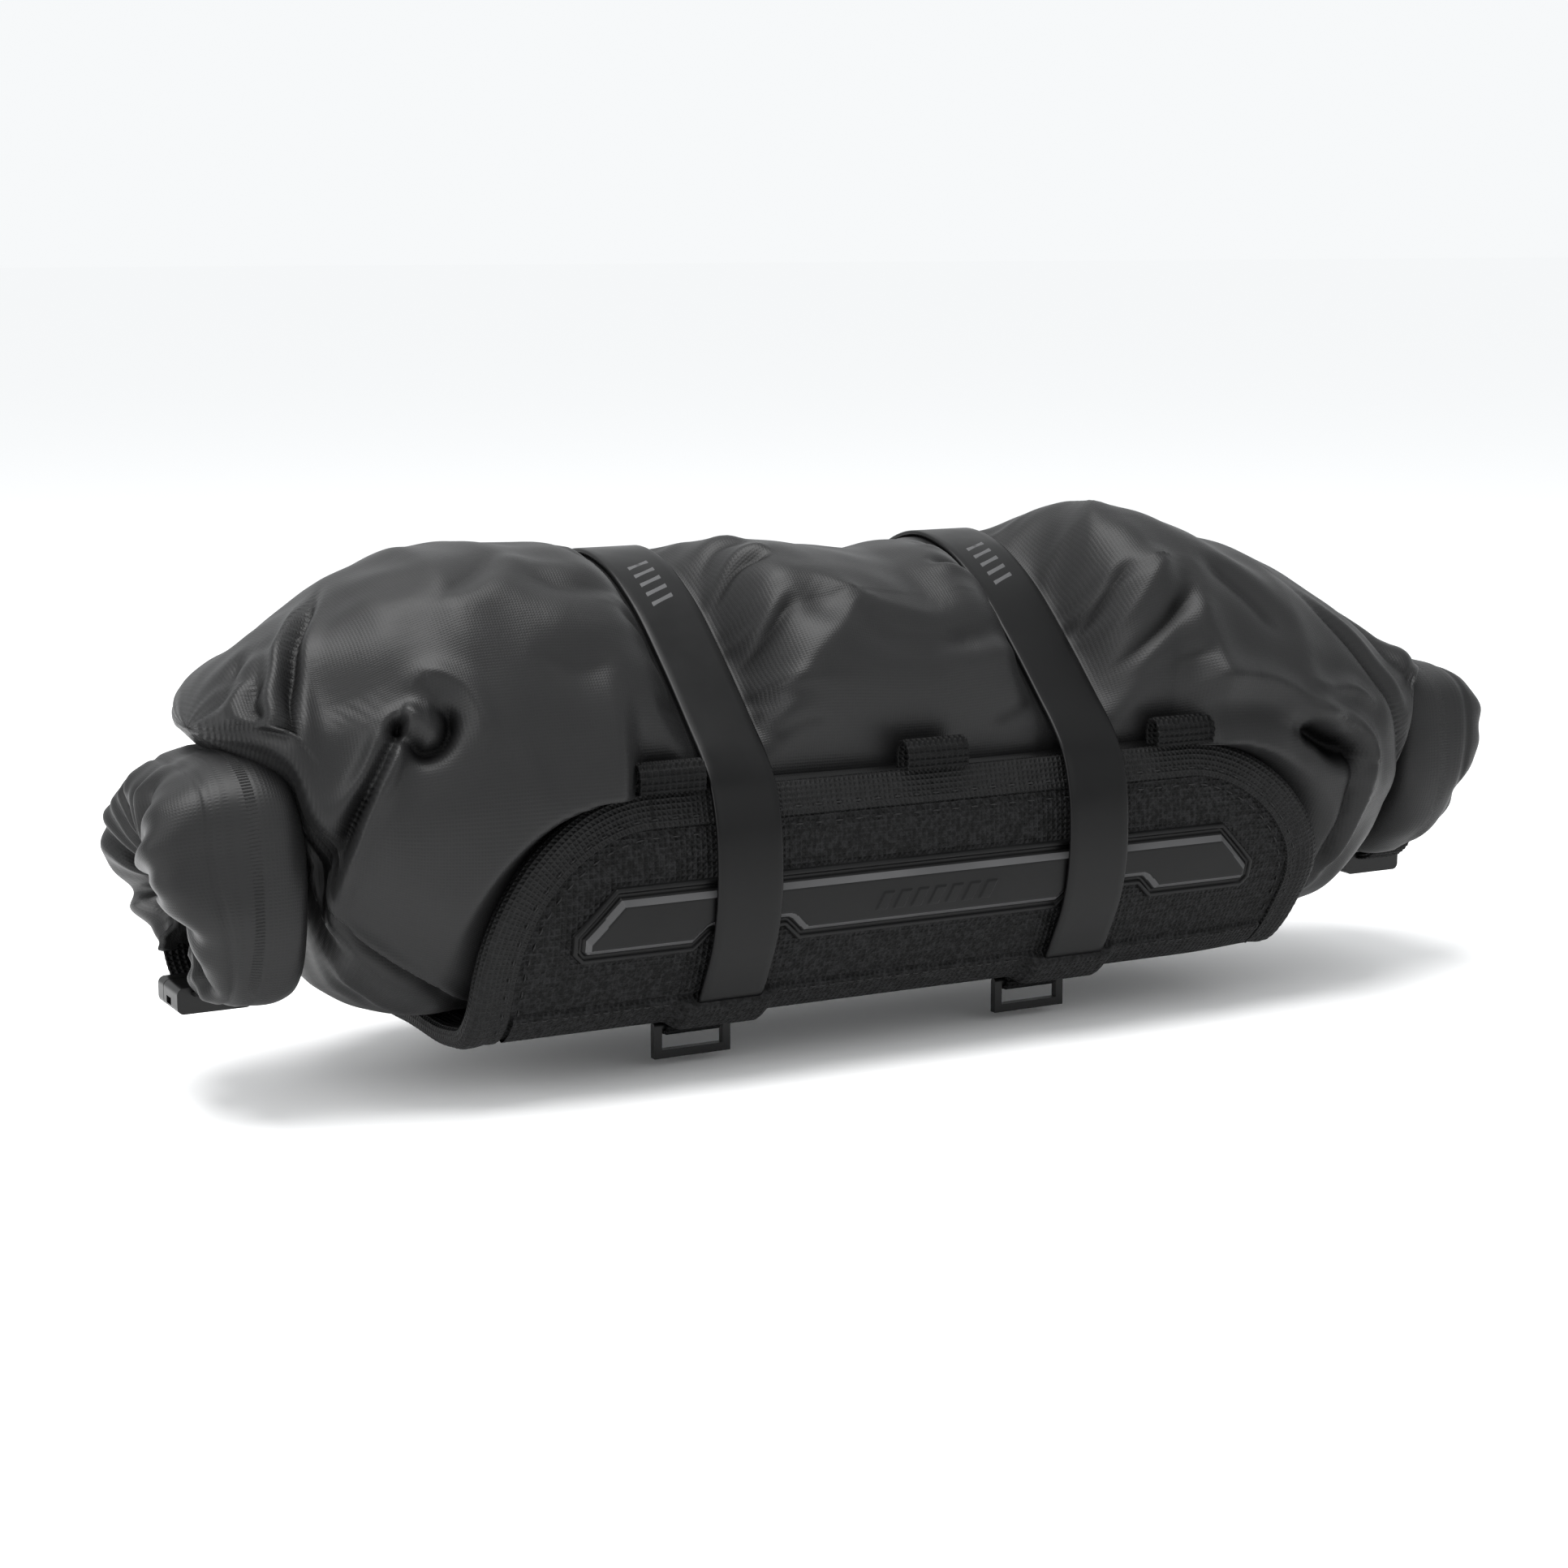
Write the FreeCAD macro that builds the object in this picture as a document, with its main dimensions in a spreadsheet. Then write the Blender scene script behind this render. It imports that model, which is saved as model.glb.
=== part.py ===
"""Handlebar roll bag in a strapped harness, as an assembly of separate pieces.

A dry bag with a roll closure at each end lies along X in a fabric cradle. The cradle has a
moulded plate and webbing loops in front, two cinch straps round the bag, and two padded
straps behind it that clamp a handlebar. Millimetres, +Z up, front towards -Y. The origin is
on the handlebar's axis, midway between its two straps.
"""
import FreeCAD, Part

import math
import os
import sys

App = FreeCAD
V = App.Vector

# name, value, note. Every length is in millimetres and every angle in degrees.
DRIVING = [
    ("bar_radius", 15.9, "radius of the handlebar's clamping zone"),
    ("bar_strap_x", 35.0, "each handlebar strap's centre, from the middle"),
    ("bar_ahead", 118.0, "handlebar axis behind the bag's axis"),
    ("bar_above", 12.0, "handlebar axis above the bag's axis"),
    ("webbing_width", 25.0, "webbing and strap width"),
    ("webbing_thick", 2.0, "webbing and strap thickness"),
    ("strap_left_x", -75.5, "left cinch strap's centre"),
    ("strap_right_x", 65.5, "right cinch strap's centre"),
    ("panel_half", 170.0, "half width of the cradle"),
    ("panel_top", 7.0, "front panel's top edge"),
    ("panel_corner", 62.0, "front panel's corner radius"),
    ("back_half", 118.0, "half width of the back panel's top"),
    ("back_top", 38.0, "back panel's top edge"),
    ("back_face", 82.1, "back panel's outer face, behind the bag's axis"),
    ("mount_face", 83.6, "mount panel's outer face, behind the bag's axis"),
    ("mount_half", 51.5, "mount panel's half width"),
    ("skin_thick", 2.0, "outer skin"),
    ("board_thick", 1.2, "stiffening board"),
    ("liner_thick", 1.8, "liner"),
    ("board_inset", 14.0, "board's edge inside the cradle's edge"),
    ("binding_width", 9.0, "edge binding, each side of the edge"),
    ("binding_proud", 1.2, "edge binding's thickness"),
    ("plate_base", 1.4, "moulded plate's rim thickness"),
    ("plate_rise", 2.4, "moulded plate's raised panel above the rim"),
    ("plate_half", 138.5, "moulded plate's half length"),
    ("plate_low", -48.5, "moulded plate's bottom edge"),
    ("plate_high", -23.0, "moulded plate's top edge"),
    ("loop_pitch", 102.0, "webbing loops' spacing along the panel"),
    ("loop_height", 9.5, "webbing loop above the panel's edge"),
    ("loop_depth", 8.4, "webbing loop, front to back"),
    ("loop_wall", 1.5, "webbing loop's thickness"),
    ("ring_width", 30.0, "strap ring's outer width"),
    ("ring_height", 13.0, "strap ring's outer height"),
    ("ring_bar", 3.0, "strap ring's bar thickness"),
    ("ring_y", -27.0, "strap ring's pivot, from the bag's axis"),
    ("ring_z", -84.2, "strap ring's pivot height"),
    ("roll_x", 243.0, "roll closure's middle, from the bag's middle"),
    ("roll_half_x", 23.0, "roll's half width along the bag"),
    ("roll_half_r", 15.0, "roll's half width across its ring"),
    ("roll_ring_r", 37.0, "radius that the roll is bent to"),
    ("roll_ring_z", -26.0, "centre of that bend"),
    ("roll_gap_deg", 40.0, "half angle left open at the bottom for the clip"),
    ("clip_width", 26.0, "clip's width along the bag"),
    ("clip_thick", 9.0, "clip's thickness"),
    ("clip_z", -60.0, "clip's height"),
    ("socket_length", 15.0, "clip socket's length"),
    ("plug_length", 6.0, "clip plug's body length"),
    ("prong_length", 8.0, "clip prong's length"),
    ("clip_gap", 0.4, "between the clip's closed halves"),
    ("rivet_radius", 1.6, "rivet's shank radius"),
    ("rivet_head_radius", 4.2, "rivet's head radius"),
    ("rivet_head", 1.2, "rivet's head thickness"),
    ("spacer_width", 27.0, "handlebar pad's width"),
    ("cam_width", 29.0, "cam buckle's width"),
    ("lever_length", 24.0, "cam lever's length"),
    ("wall", 1.5, "dry bag's wall"),
    ("gap", 0.3, "clearance between pieces that only lie together"),
]

# The cradle's outer profile, front top edge to back top edge, as (y, z) about the bag's axis.
CRADLE = [
    (-62.5, 7.0), (-66.5, -4.0), (-68.0, -18.0), (-67.5, -32.0), (-65.0, -45.0),
    (-60.5, -57.0), (-55.5, -67.0), (-47.0, -75.5), (-34.0, -78.5), (0.0, -79.0),
    (40.0, -78.0), (62.0, -71.0), (76.0, -56.0), (81.5, -35.0), (82.0, -10.0),
    (82.0, 14.0), (82.0, 38.0),
]
# A cinch strap's inner face, from under the cradle round the front and over to the back.
STRAP = [
    (-36.0, -79.2), (-47.5, -76.4), (-56.8, -67.7), (-62.8, -57.6), (-68.6, -45.6),
    (-71.9, -32.0), (-72.5, -18.0), (-71.0, -3.8), (-66.6, 8.2), (-60.0, 16.2),
    (-51.0, 24.5), (-30.0, 42.5), (-5.0, 61.0), (18.0, 71.0), (40.0, 73.5),
    (60.0, 68.0), (77.0, 54.5), (84.4, 38.0), (84.0, 29.0), (82.8, 19.0), (82.45, 12.0),
    (82.4, 6.0), (82.4, 0.0),
]
# Dry bag stations: x, then front, back, top and bottom half sizes, then how far the strap
# side is pressed flat, as a share.
STATIONS = [
    (-251.0, 34.0, 36.0, 32.0, 26.0, 0.0),
    (-247.0, 46.0, 49.0, 38.0, 38.0, 0.0),
    (-240.0, 53.0, 57.0, 46.0, 46.0, 0.0),
    (-226.0, 60.0, 64.0, 58.0, 58.0, 0.0),
    (-197.0, 68.0, 74.0, 76.0, 71.0, 0.0),
    (-170.0, 73.0, 80.0, 84.0, 76.0, 0.04),
    (-135.0, 74.0, 80.0, 84.0, 76.0, 0.06),
    (-76.0, 68.0, 77.0, 78.0, 74.0, 0.18),
    (0.0, 70.0, 78.0, 79.0, 74.0, 0.10),
    (66.0, 68.0, 77.0, 78.0, 74.0, 0.18),
    (125.0, 74.0, 80.0, 85.0, 76.0, 0.06),
    (165.0, 73.0, 80.0, 83.0, 76.0, 0.04),
    (197.0, 68.0, 74.0, 70.0, 71.0, 0.0),
    (226.0, 60.0, 64.0, 54.0, 58.0, 0.0),
    (240.0, 53.0, 57.0, 44.0, 46.0, 0.0),
    (247.0, 46.0, 49.0, 37.0, 38.0, 0.0),
    (251.0, 34.0, 36.0, 32.0, 26.0, 0.0),
]

doc = App.newDocument("handlebar_roll_bag")
sheet = doc.addObject("Spreadsheet::Sheet", "dims")
for row, (name, value, note) in enumerate(DRIVING, start=1):
    sheet.set(f"A{row}", name)
    sheet.set(f"B{row}", str(value))
    sheet.set(f"C{row}", note)
    sheet.setAlias(f"B{row}", name)
doc.recompute()


def dim(name):
    """A driving dimension, read back from the sheet."""
    return float(sheet.get(name))


def moved(y, z):
    """The shift from the bag's own axis to the frame's origin."""
    return V(0, y - dim("bar_ahead"), z - dim("bar_above"))


TO_FRAME = moved(0, 0)
PIECES = []


def feature(label, shape):
    """A sub-part whose shape Part's own functions make, moved into the frame."""
    piece = doc.addObject("Part::Feature", label)
    piece.Label = label
    piece.Shape = shape
    piece.Placement = App.Placement(TO_FRAME, App.Rotation())
    PIECES.append(piece)
    return piece


# ---------------------------------------------------------------- curves and bands

def spline(points):
    curve = Part.BSplineCurve()
    curve.interpolate([V(0, y, z) for y, z in points])
    return curve


def offset_points(curve, distance, first, last, count, side):
    """Points a distance outside the curve; side is 1 or -1 for the way that it runs."""
    found = []
    for i in range(count):
        share = first + (last - first) * i / (count - 1)
        t = curve.FirstParameter + (curve.LastParameter - curve.FirstParameter) * share
        point, along = curve.value(t), curve.tangent(t)[0]
        normal = V(0, along.z * side, -along.y * side)
        found.append(point + normal * distance)
    return found


def band(curve, inner, outer, x_low, x_high, side, first=0.0, last=1.0, count=34):
    """The solid between two offsets of a profile, from x_low to x_high."""
    edges = []
    for distance in (inner, outer):
        face_curve = Part.BSplineCurve()
        face_curve.interpolate(offset_points(curve, distance, first, last, count, side))
        edges.append(face_curve.toShape())
    a, b = edges
    ends = [
        Part.LineSegment(a.Vertexes[0].Point, b.Vertexes[0].Point).toShape(),
        Part.LineSegment(a.Vertexes[-1].Point, b.Vertexes[-1].Point).toShape(),
    ]
    wire = Part.Wire(Part.__sortEdges__([a, ends[1], b, ends[0]]))
    face = Part.Face(wire)
    face.translate(V(x_low, 0, 0))
    return face.extrude(V(x_high - x_low, 0, 0))


def cradle_band(inner, outer, half):
    return band(cradle_curve, inner, outer, -half, half, 1)


def strap_band(inner, outer, x, width):
    return band(strap_curve, inner, outer, x - width / 2, x + width / 2, -1, count=44)


def prism(points, y_low, y_high, corner=0.0):
    """An outline in X and Z, extruded along Y."""
    ring = [V(x, y_low, z) for x, z in points]
    face = Part.Face(Part.makePolygon(ring + [ring[0]]))
    solid = face.extrude(V(0, y_high - y_low, 0))
    if corner:
        upright = [
            e for e in solid.Edges
            if e.BoundBox.YLength > 1 and e.BoundBox.ZMin > solid.BoundBox.Center.z
        ]
        solid = solid.makeFillet(corner, upright)
    return solid


def box(x, y, z, lx, ly, lz):
    """A box centred on x, y, z."""
    return Part.makeBox(lx, ly, lz, V(x - lx / 2, y - ly / 2, z - lz / 2))


cradle_curve = spline(CRADLE)
strap_curve = spline(STRAP)
half = dim("panel_half")
strap_xs = {"left": dim("strap_left_x"), "right": dim("strap_right_x")}
width = dim("webbing_width")
thick = dim("webbing_thick")
gap = dim("gap")
sheet_thick = dim("skin_thick") + dim("board_thick") + dim("liner_thick")


def share_at(y, z):
    """How far along the cradle's profile its nearest point to y, z lies, as a share."""
    first, last = cradle_curve.FirstParameter, cradle_curve.LastParameter
    return (cradle_curve.parameter(V(0, y, z)) - first) / (last - first)


def cradle_outline(inset):
    """The region that the cradle's pieces are cut to, that far inside its edge."""
    corner = dim("panel_corner") - inset
    low = -120.0
    wide, top = half - inset, dim("panel_top") - inset
    front = prism([(-wide, low), (wide, low), (wide, top), (-wide, top)], -110, 0, corner)
    slope, back_wide, back_top = 66.0, dim("back_half") - inset, dim("back_top") - inset
    back = prism(
        [
            (-wide, low), (wide, low), (wide, -62), (back_wide, -62 + slope),
            (back_wide, back_top), (-back_wide, back_top), (-back_wide, -62 + slope),
            (-wide, -62),
        ],
        0, 110,
    )
    return front.fuse(back)


# ---------------------------------------------------------------- rivets

LOOP_PLACES = {"left": -1.0, "centre": 0.01, "right": 1.04}
RIVET_Z = {"high": 14.0, "low": 4.0}


def rivet_bar(radius, y_low, y_high, x, z):
    return Part.makeCylinder(radius, y_high - y_low, V(x, y_low, z), V(0, 1, 0))


def rivet_holes():
    """Clear holes through the strap and the back panel."""
    radius = dim("rivet_radius") + 0.05
    bars = [
        rivet_bar(radius, 60, 100, x, z) for x in strap_xs.values() for z in RIVET_Z.values()
    ]
    return Part.makeCompound(bars)


def rivets():
    """Each rivet: a head on the strap, a shank, and a head inside the liner."""
    inside, outside = 82.0 - sheet_thick, 82.4 + thick + 0.45
    made = []
    for x in strap_xs.values():
        for z in RIVET_Z.values():
            shank = rivet_bar(dim("rivet_radius"), inside - 0.2, outside + 0.4, x, z)
            outer = rivet_bar(
                dim("rivet_head_radius"), outside, outside + dim("rivet_head"), x, z
            )
            inner = rivet_bar(
                dim("rivet_head_radius"), inside - 0.1 - dim("rivet_head"), inside - 0.1, x, z
            )
            made.append(shank.fuse([outer, inner]).removeSplitter())
    return Part.makeCompound(made)


# ---------------------------------------------------------------- cradle

def cradle():
    holes = rivet_holes()
    outline = cradle_outline(0.0)
    skin_in = -dim("skin_thick")
    board_in = skin_in - dim("board_thick")
    liner_in = board_in - dim("liner_thick")
    wide = half + 1
    skin = cradle_band(skin_in, 0, wide).common(outline).cut(holes)
    board = cradle_band(board_in, skin_in, wide)
    board = board.common(cradle_outline(dim("board_inset")))
    liner = cradle_band(liner_in, skin_in, wide).common(outline).cut(board).cut(holes)
    board = board.cut(holes)
    feature("harness_outer_skin", skin)
    feature("harness_stiffener_board", board)
    feature("harness_liner", liner)


def edge_binding():
    """The binding folded over the cradle's edge, split at the bottom into front and back."""
    proud = dim("binding_proud")
    thick_band = cradle_band(-sheet_thick - proud, proud, half + 6)
    ring = thick_band.common(cradle_outline(-proud)).cut(cradle_outline(dim("binding_width")))
    ring = ring.cut(cradle_band(-sheet_thick, 0, half + 1).common(cradle_outline(0.0)))
    for label, y_low, y_high in (("front", -110, 0), ("back", 0, 110)):
        part = ring.common(Part.makeBox(500, y_high - y_low, 300, V(-250, y_low, -150)))
        feature(f"{label}_edge_binding", part)


def bottom_strip():
    """The strip along the panel's foot, which covers each strap where it goes under."""
    first, last = share_at(-56.5, -65.2), share_at(-43.5, -76.8)
    lift = gap / 2
    strip = band(cradle_curve, lift, 1.4, -154, 154, 1, first, last, 24)
    for x in strap_xs.values():
        bridge = band(cradle_curve, lift, 5.0, x - 17, x + 17, 1, first, last, 24)
        channel = band(
            cradle_curve, -1.0, 3.6, x - 13.2, x + 13.2, 1, first - 0.03, last + 0.03, 24
        )
        strip = strip.fuse(bridge).cut(channel)
    feature("bottom_strip", strip)


def plate_outline(inset):
    """The moulded plate's outline: pointed ends, and a notch over each strap."""
    wide = dim("plate_half") - inset
    low, high = dim("plate_low") + inset, dim("plate_high") - inset
    chamfer, foot, notch = 15.0, 3.5, 5.5
    notch_out, notch_in, slant = 93.0 + inset, 53.0 - inset, 6.0
    right = [
        (notch_in, low), (notch_in + slant, low + notch), (notch_out - slant, low + notch),
        (notch_out, low), (wide - foot, low), (wide, low + foot),
        (wide, high - chamfer + 0.4 * inset), (wide - chamfer + 0.6 * inset, high),
    ]
    left = [(-x, z) for x, z in reversed(right)]
    return prism(right + left, -110, 0)


def front_plate():
    base, rise = dim("plate_base"), dim("plate_rise")
    wide = dim("plate_half") + 1
    rim = cradle_band(0.05, base, wide).common(plate_outline(0.0))
    raised = cradle_band(base - 0.5, base + rise, wide).common(plate_outline(4.0))
    feature("front_plate", rim.fuse(raised).removeSplitter())


def webbing_loops():
    """Arches of folded webbing that stand on the front panel's bound edge."""
    foot = dim("panel_top") + dim("binding_proud") + 0.05
    depth, height, wall = dim("loop_depth"), dim("loop_height"), dim("loop_wall")
    for label, place in LOOP_PLACES.items():
        x, y = place * dim("loop_pitch"), -64.8
        outer = box(x, y, foot + height / 2, width, depth, height)
        top = [e for e in outer.Edges if e.BoundBox.YLength < 0.1 and e.BoundBox.ZMin > foot + 1]
        outer = outer.makeFillet(depth / 2 - 1.2, top)
        inner = box(
            x, y, foot + (height - wall) / 2 - 1, width + 2, depth - 2 * wall, height - wall + 2
        )
        crown = [e for e in inner.Edges if e.BoundBox.YLength < 0.1 and e.BoundBox.ZMin > foot + 1]
        inner = inner.makeFillet(depth / 2 - wall - 0.8, crown)
        feature(f"webbing_loop_{label}", outer.cut(inner))


# ---------------------------------------------------------------- cinch straps and rings

def cinch_straps():
    holes = rivet_holes()
    for side, x in strap_xs.items():
        strap = strap_band(0, thick, x, width).cut(holes)
        feature(f"cinch_strap_{side}", strap)


def ring_tab(side, x):
    """A narrower tab from the strap's end, folded round the ring's upper bar."""
    y, z = dim("ring_y"), dim("ring_z")
    hole, wall = dim("ring_bar") / 2 + 0.3, 1.4
    tab_width = dim("ring_width") - 2 * dim("ring_bar") - 2.0
    eye = Part.makeCylinder(hole + wall, tab_width, V(x - tab_width / 2, y, z), V(1, 0, 0))
    top = z + hole + wall
    tongue = Part.makeBox(tab_width, 35.6 + y, wall, V(x - tab_width / 2, -35.6, top - wall))
    bore = Part.makeCylinder(hole, tab_width + 2, V(x - tab_width / 2 - 1, y, z), V(1, 0, 0))
    feature(f"ring_tab_{side}", eye.fuse(tongue).cut(bore).removeSplitter())


def rectangle(sketch, x_low, z_low, x_high, z_high):
    """Four lines, drawn as x and z in a sketch on the XZ plane."""
    corners = [V(x_low, z_low, 0), V(x_high, z_low, 0), V(x_high, z_high, 0), V(x_low, z_high, 0)]
    for a, b in zip(corners, corners[1:] + corners[:1]):
        sketch.addGeometry(Part.LineSegment(a, b), False)


def body_with_sketch(label, plane):
    body = doc.addObject("PartDesign::Body", label)
    body.Label = label
    sketch = body.newObject("Sketcher::SketchObject", f"{label}_outline")
    origin_plane = next(f for f in body.Origin.OriginFeatures if f.Role == plane)
    sketch.AttachmentSupport = [(origin_plane, "")]
    sketch.MapMode = "FlatFace"
    return body, sketch


def strap_ring(side, x):
    """A rectangular ring padded from a sketch, with its upper bar on the pivot."""
    label = f"strap_ring_{side}"
    body, sketch = body_with_sketch(label, "XZ_Plane")
    bar, wide, tall = dim("ring_bar"), dim("ring_width"), dim("ring_height")
    rectangle(sketch, -wide / 2, bar / 2 - tall, wide / 2, bar / 2)
    rectangle(sketch, bar - wide / 2, 1.5 * bar - tall, wide / 2 - bar, -bar / 2)
    pad = body.newObject("PartDesign::Pad", f"{label}_pad")
    pad.Profile = sketch
    pad.Midplane = True
    pad.setExpression("Length", "dims.ring_bar")
    doc.recompute()
    edges = [
        f"Edge{i}" for i, e in enumerate(pad.Shape.Edges, start=1)
        if e.BoundBox.XLength > wide - 2 * bar - 1 and e.BoundBox.ZMin > -bar
    ]
    fillet = body.newObject("PartDesign::Fillet", f"{label}_round")
    fillet.Base = (pad, edges)
    fillet.Radius = bar * 0.48
    body.Placement = App.Placement(V(x, dim("ring_y"), dim("ring_z")) + TO_FRAME, App.Rotation())
    PIECES.append(body)


# ---------------------------------------------------------------- dry bag

def bag_section(x, front, back, top, bottom, flat, shrink):
    """A closed section: rounded, with the upper front pressed in under the strap's side."""
    power, centre, spread, count = 2.0 / 2.25, 58.0, 34.0, 24
    points = []
    for i in range(count):
        angle = 360.0 * i / count
        c, s = math.cos(math.radians(angle)), math.sin(math.radians(angle))
        deep = (front if c > 0 else back) - shrink
        tall = (top if s > 0 else bottom) - shrink
        press = 1 - flat * math.exp(-(((angle - centre) / spread) ** 2))
        y = -deep * math.copysign(abs(c) ** power, c) * press
        z = tall * math.copysign(abs(s) ** power, s) * press
        points.append(V(x, y, z))
    curve = Part.BSplineCurve()
    curve.interpolate(points, PeriodicFlag=True)
    return Part.Wire(curve.toShape())


def station(x):
    """The section's sizes at x, in proportion between the two nearest stations."""
    for low, high in zip(STATIONS, STATIONS[1:]):
        if x <= high[0] + 0.01:
            share = (x - low[0]) / (high[0] - low[0])
            return [a + (b - a) * share for a, b in zip(low[1:], high[1:])]
    return list(STATIONS[-1][1:])


def bag_loft(shrink):
    """Sections set closer together towards the ends, joined smoothly."""
    steps, end = 24, STATIONS[-1][0]
    wires = []
    for i in range(steps + 1):
        share = math.sin(math.pi * (i / steps - 0.5))
        wires.append(bag_section((end - shrink) * share, *station(end * share), shrink))
    return Part.makeLoft(wires, True, False)


def keep_out(extra):
    """Where the cradle, straps, loops and rivets press on the bag, and a clearance more."""
    room = gap + extra
    shelf, end = dim("roll_ring_z") + dim("roll_ring_r") + dim("roll_half_r"), 219.8
    roll_room = Part.makeBox(80, 200, 150 + shelf + room, V(end - room, -100, -150))
    outline = cradle_outline(-dim("binding_proud") - room)
    reach = sheet_thick + dim("binding_proud") + room
    solids = [roll_room, roll_room.mirror(V(0, 0, 0), V(1, 0, 0))]
    solids.append(band(cradle_curve, -reach, 30, -half - 8, half + 8, 1).common(outline))
    for x in strap_xs.values():
        solids.append(strap_band(-room, 30, x, width + 2 * room))
        for z in RIVET_Z.values():
            depth = 82.0 - sheet_thick - dim("rivet_head") - 0.1 - room
            solids.append(rivet_bar(dim("rivet_head_radius") + room, depth, 90, x, z))
    for place in LOOP_PLACES.values():
        sizes = (width + 2 * room, dim("loop_depth") + 4 + 2 * room, 13 + 2 * room)
        solids.append(box(place * dim("loop_pitch"), -66, 12, *sizes))
    return solids


def dry_bag():
    outer = bag_loft(0.0)
    for solid in keep_out(0.0):
        outer = outer.cut(solid)
    inner = bag_loft(dim("wall"))
    for solid in keep_out(dim("wall")):
        inner = inner.cut(solid)
    feature("dry_bag_body", outer.cut(inner))


# ---------------------------------------------------------------- roll closures

def roll_shape(x):
    """A roll with a rounded section, bent round an axis along X and open at the bottom."""
    ring_r, ring_z = dim("roll_ring_r"), dim("roll_ring_z")
    middle = V(x, 0, ring_z + ring_r)
    along, across = V(dim("roll_half_x"), 0, 0), V(0, 0, dim("roll_half_r"))
    ellipse = Part.Ellipse(middle + along, middle + across, middle)
    face = Part.Face(Part.Wire(ellipse.toShape()))
    sweep = 180 - dim("roll_gap_deg")
    arms = [face.copy().revolve(V(x, 0, ring_z), V(turn, 0, 0), sweep) for turn in (1, -1)]
    return arms[0].fuse(arms[1]).removeSplitter()


def roll_closure(side, sign):
    """One end's closure: the rolled mouth, and the clip that joins the roll's ends."""
    x = sign * dim("roll_x")
    roll = roll_shape(x)
    feature(f"{side}_roll", roll)
    clip(side, x, roll)


def clip(side, x, roll):
    """A clip in two halves: a hollow socket in front and a plug with prongs behind."""
    wide, tall, z = dim("clip_width"), dim("clip_thick"), dim("clip_z")
    socket, body, prong = dim("socket_length"), dim("plug_length"), dim("prong_length")
    mouth_y = socket / 2
    plug_y = mouth_y + dim("clip_gap")
    cavity_low, cavity_tall, depth = z - 3.2, 3.8, prong + 1.6
    shell = Part.makeBox(wide, socket, tall, V(x - wide / 2, -mouth_y, z - tall / 2))
    shell = shell.makeFillet(2.4, [e for e in shell.Edges if e.BoundBox.YLength > socket - 1])
    cavity = Part.makeBox(
        wide - 5, depth, cavity_tall, V(x - wide / 2 + 2.5, mouth_y - depth, cavity_low)
    )
    shell = shell.cut(cavity)
    for way in (-1, 1):
        shell = shell.cut(box(x + way * (wide / 2 - 1), 2.0, cavity_low + 1.9, 4, 5.0, 2.6))
    plug = Part.makeBox(wide, body, tall, V(x - wide / 2, plug_y, z - tall / 2))
    plug = plug.makeFillet(2.4, [e for e in plug.Edges if e.BoundBox.YLength > body - 1])
    tab_z, tab_thick, tab_wide = z + 2.3, 1.5, wide - 8
    plug = plug.cut(box(x, plug_y + body / 2, tab_z, tab_wide + 1.2, body + 2, tab_thick + 1.0))
    for offset in (-8.0, 0.0, 8.0):
        plug = plug.fuse(
            Part.makeBox(3.2, prong + 0.5, 2.6, V(x + offset - 1.6, plug_y + 0.5 - prong - 0.5, z - 2.6))
        )
    feature(f"{side}_clip_socket", shell)
    feature(f"{side}_clip_plug", plug.removeSplitter())
    reach = 31.0
    front = Part.makeBox(
        tab_wide, reach - mouth_y, tab_thick, V(x - tab_wide / 2, -reach, tab_z - tab_thick / 2)
    )
    back = Part.makeBox(
        tab_wide, reach - plug_y - 1.5, tab_thick,
        V(x - tab_wide / 2, plug_y + 1.5, tab_z - tab_thick / 2),
    )
    for end, tab in (("front", front), ("back", back)):
        pieces = tab.cut(roll).Solids
        inner = min(pieces, key=lambda solid: abs(solid.CenterOfMass.y))
        feature(f"{side}_clip_{end}_tab", inner)


# ---------------------------------------------------------------- handlebar mount

def mount_panel():
    """A rubber sheet sewn to the back panel, which carries the pads and the bar's straps."""
    panel = doc.addObject("Part::Box", "mount_panel")
    panel.Label = "mount_panel"
    panel.setExpression("Length", "2 * dims.mount_half")
    panel.setExpression("Width", "dims.mount_face - dims.back_face")
    panel.setExpression("Height", "44")
    low = V(-dim("mount_half"), dim("back_face"), -16)
    panel.Placement = App.Placement(low + TO_FRAME, App.Rotation())
    PIECES.append(panel)


def bar_pad(side, x):
    """A rubber pad with a saddle for the handlebar."""
    label = f"bar_pad_{side}"
    block = doc.addObject("Part::Box", f"{label}_block")
    block.setExpression("Length", "dims.spacer_width")
    block.setExpression("Width", "dims.bar_ahead - dims.mount_face - 4")
    block.setExpression("Height", "2 * dims.bar_radius - 0.4")
    block.Placement = App.Placement(
        V(x - dim("spacer_width") / 2, dim("mount_face"), dim("bar_above") - dim("bar_radius") + 0.2),
        App.Rotation(),
    )
    saddle = doc.addObject("Part::Cylinder", f"{label}_saddle")
    saddle.setExpression("Radius", "dims.bar_radius")
    saddle.setExpression("Height", "dims.spacer_width + 4")
    saddle.Placement = App.Placement(
        V(x - dim("spacer_width") / 2 - 2, dim("bar_ahead"), dim("bar_above")),
        App.Rotation(V(0, 1, 0), 90),
    )
    pad = doc.addObject("Part::Cut", label)
    pad.Label = label
    pad.Base, pad.Tool = block, saddle
    pad.Placement = App.Placement(TO_FRAME, App.Rotation())
    PIECES.append(pad)


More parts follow.
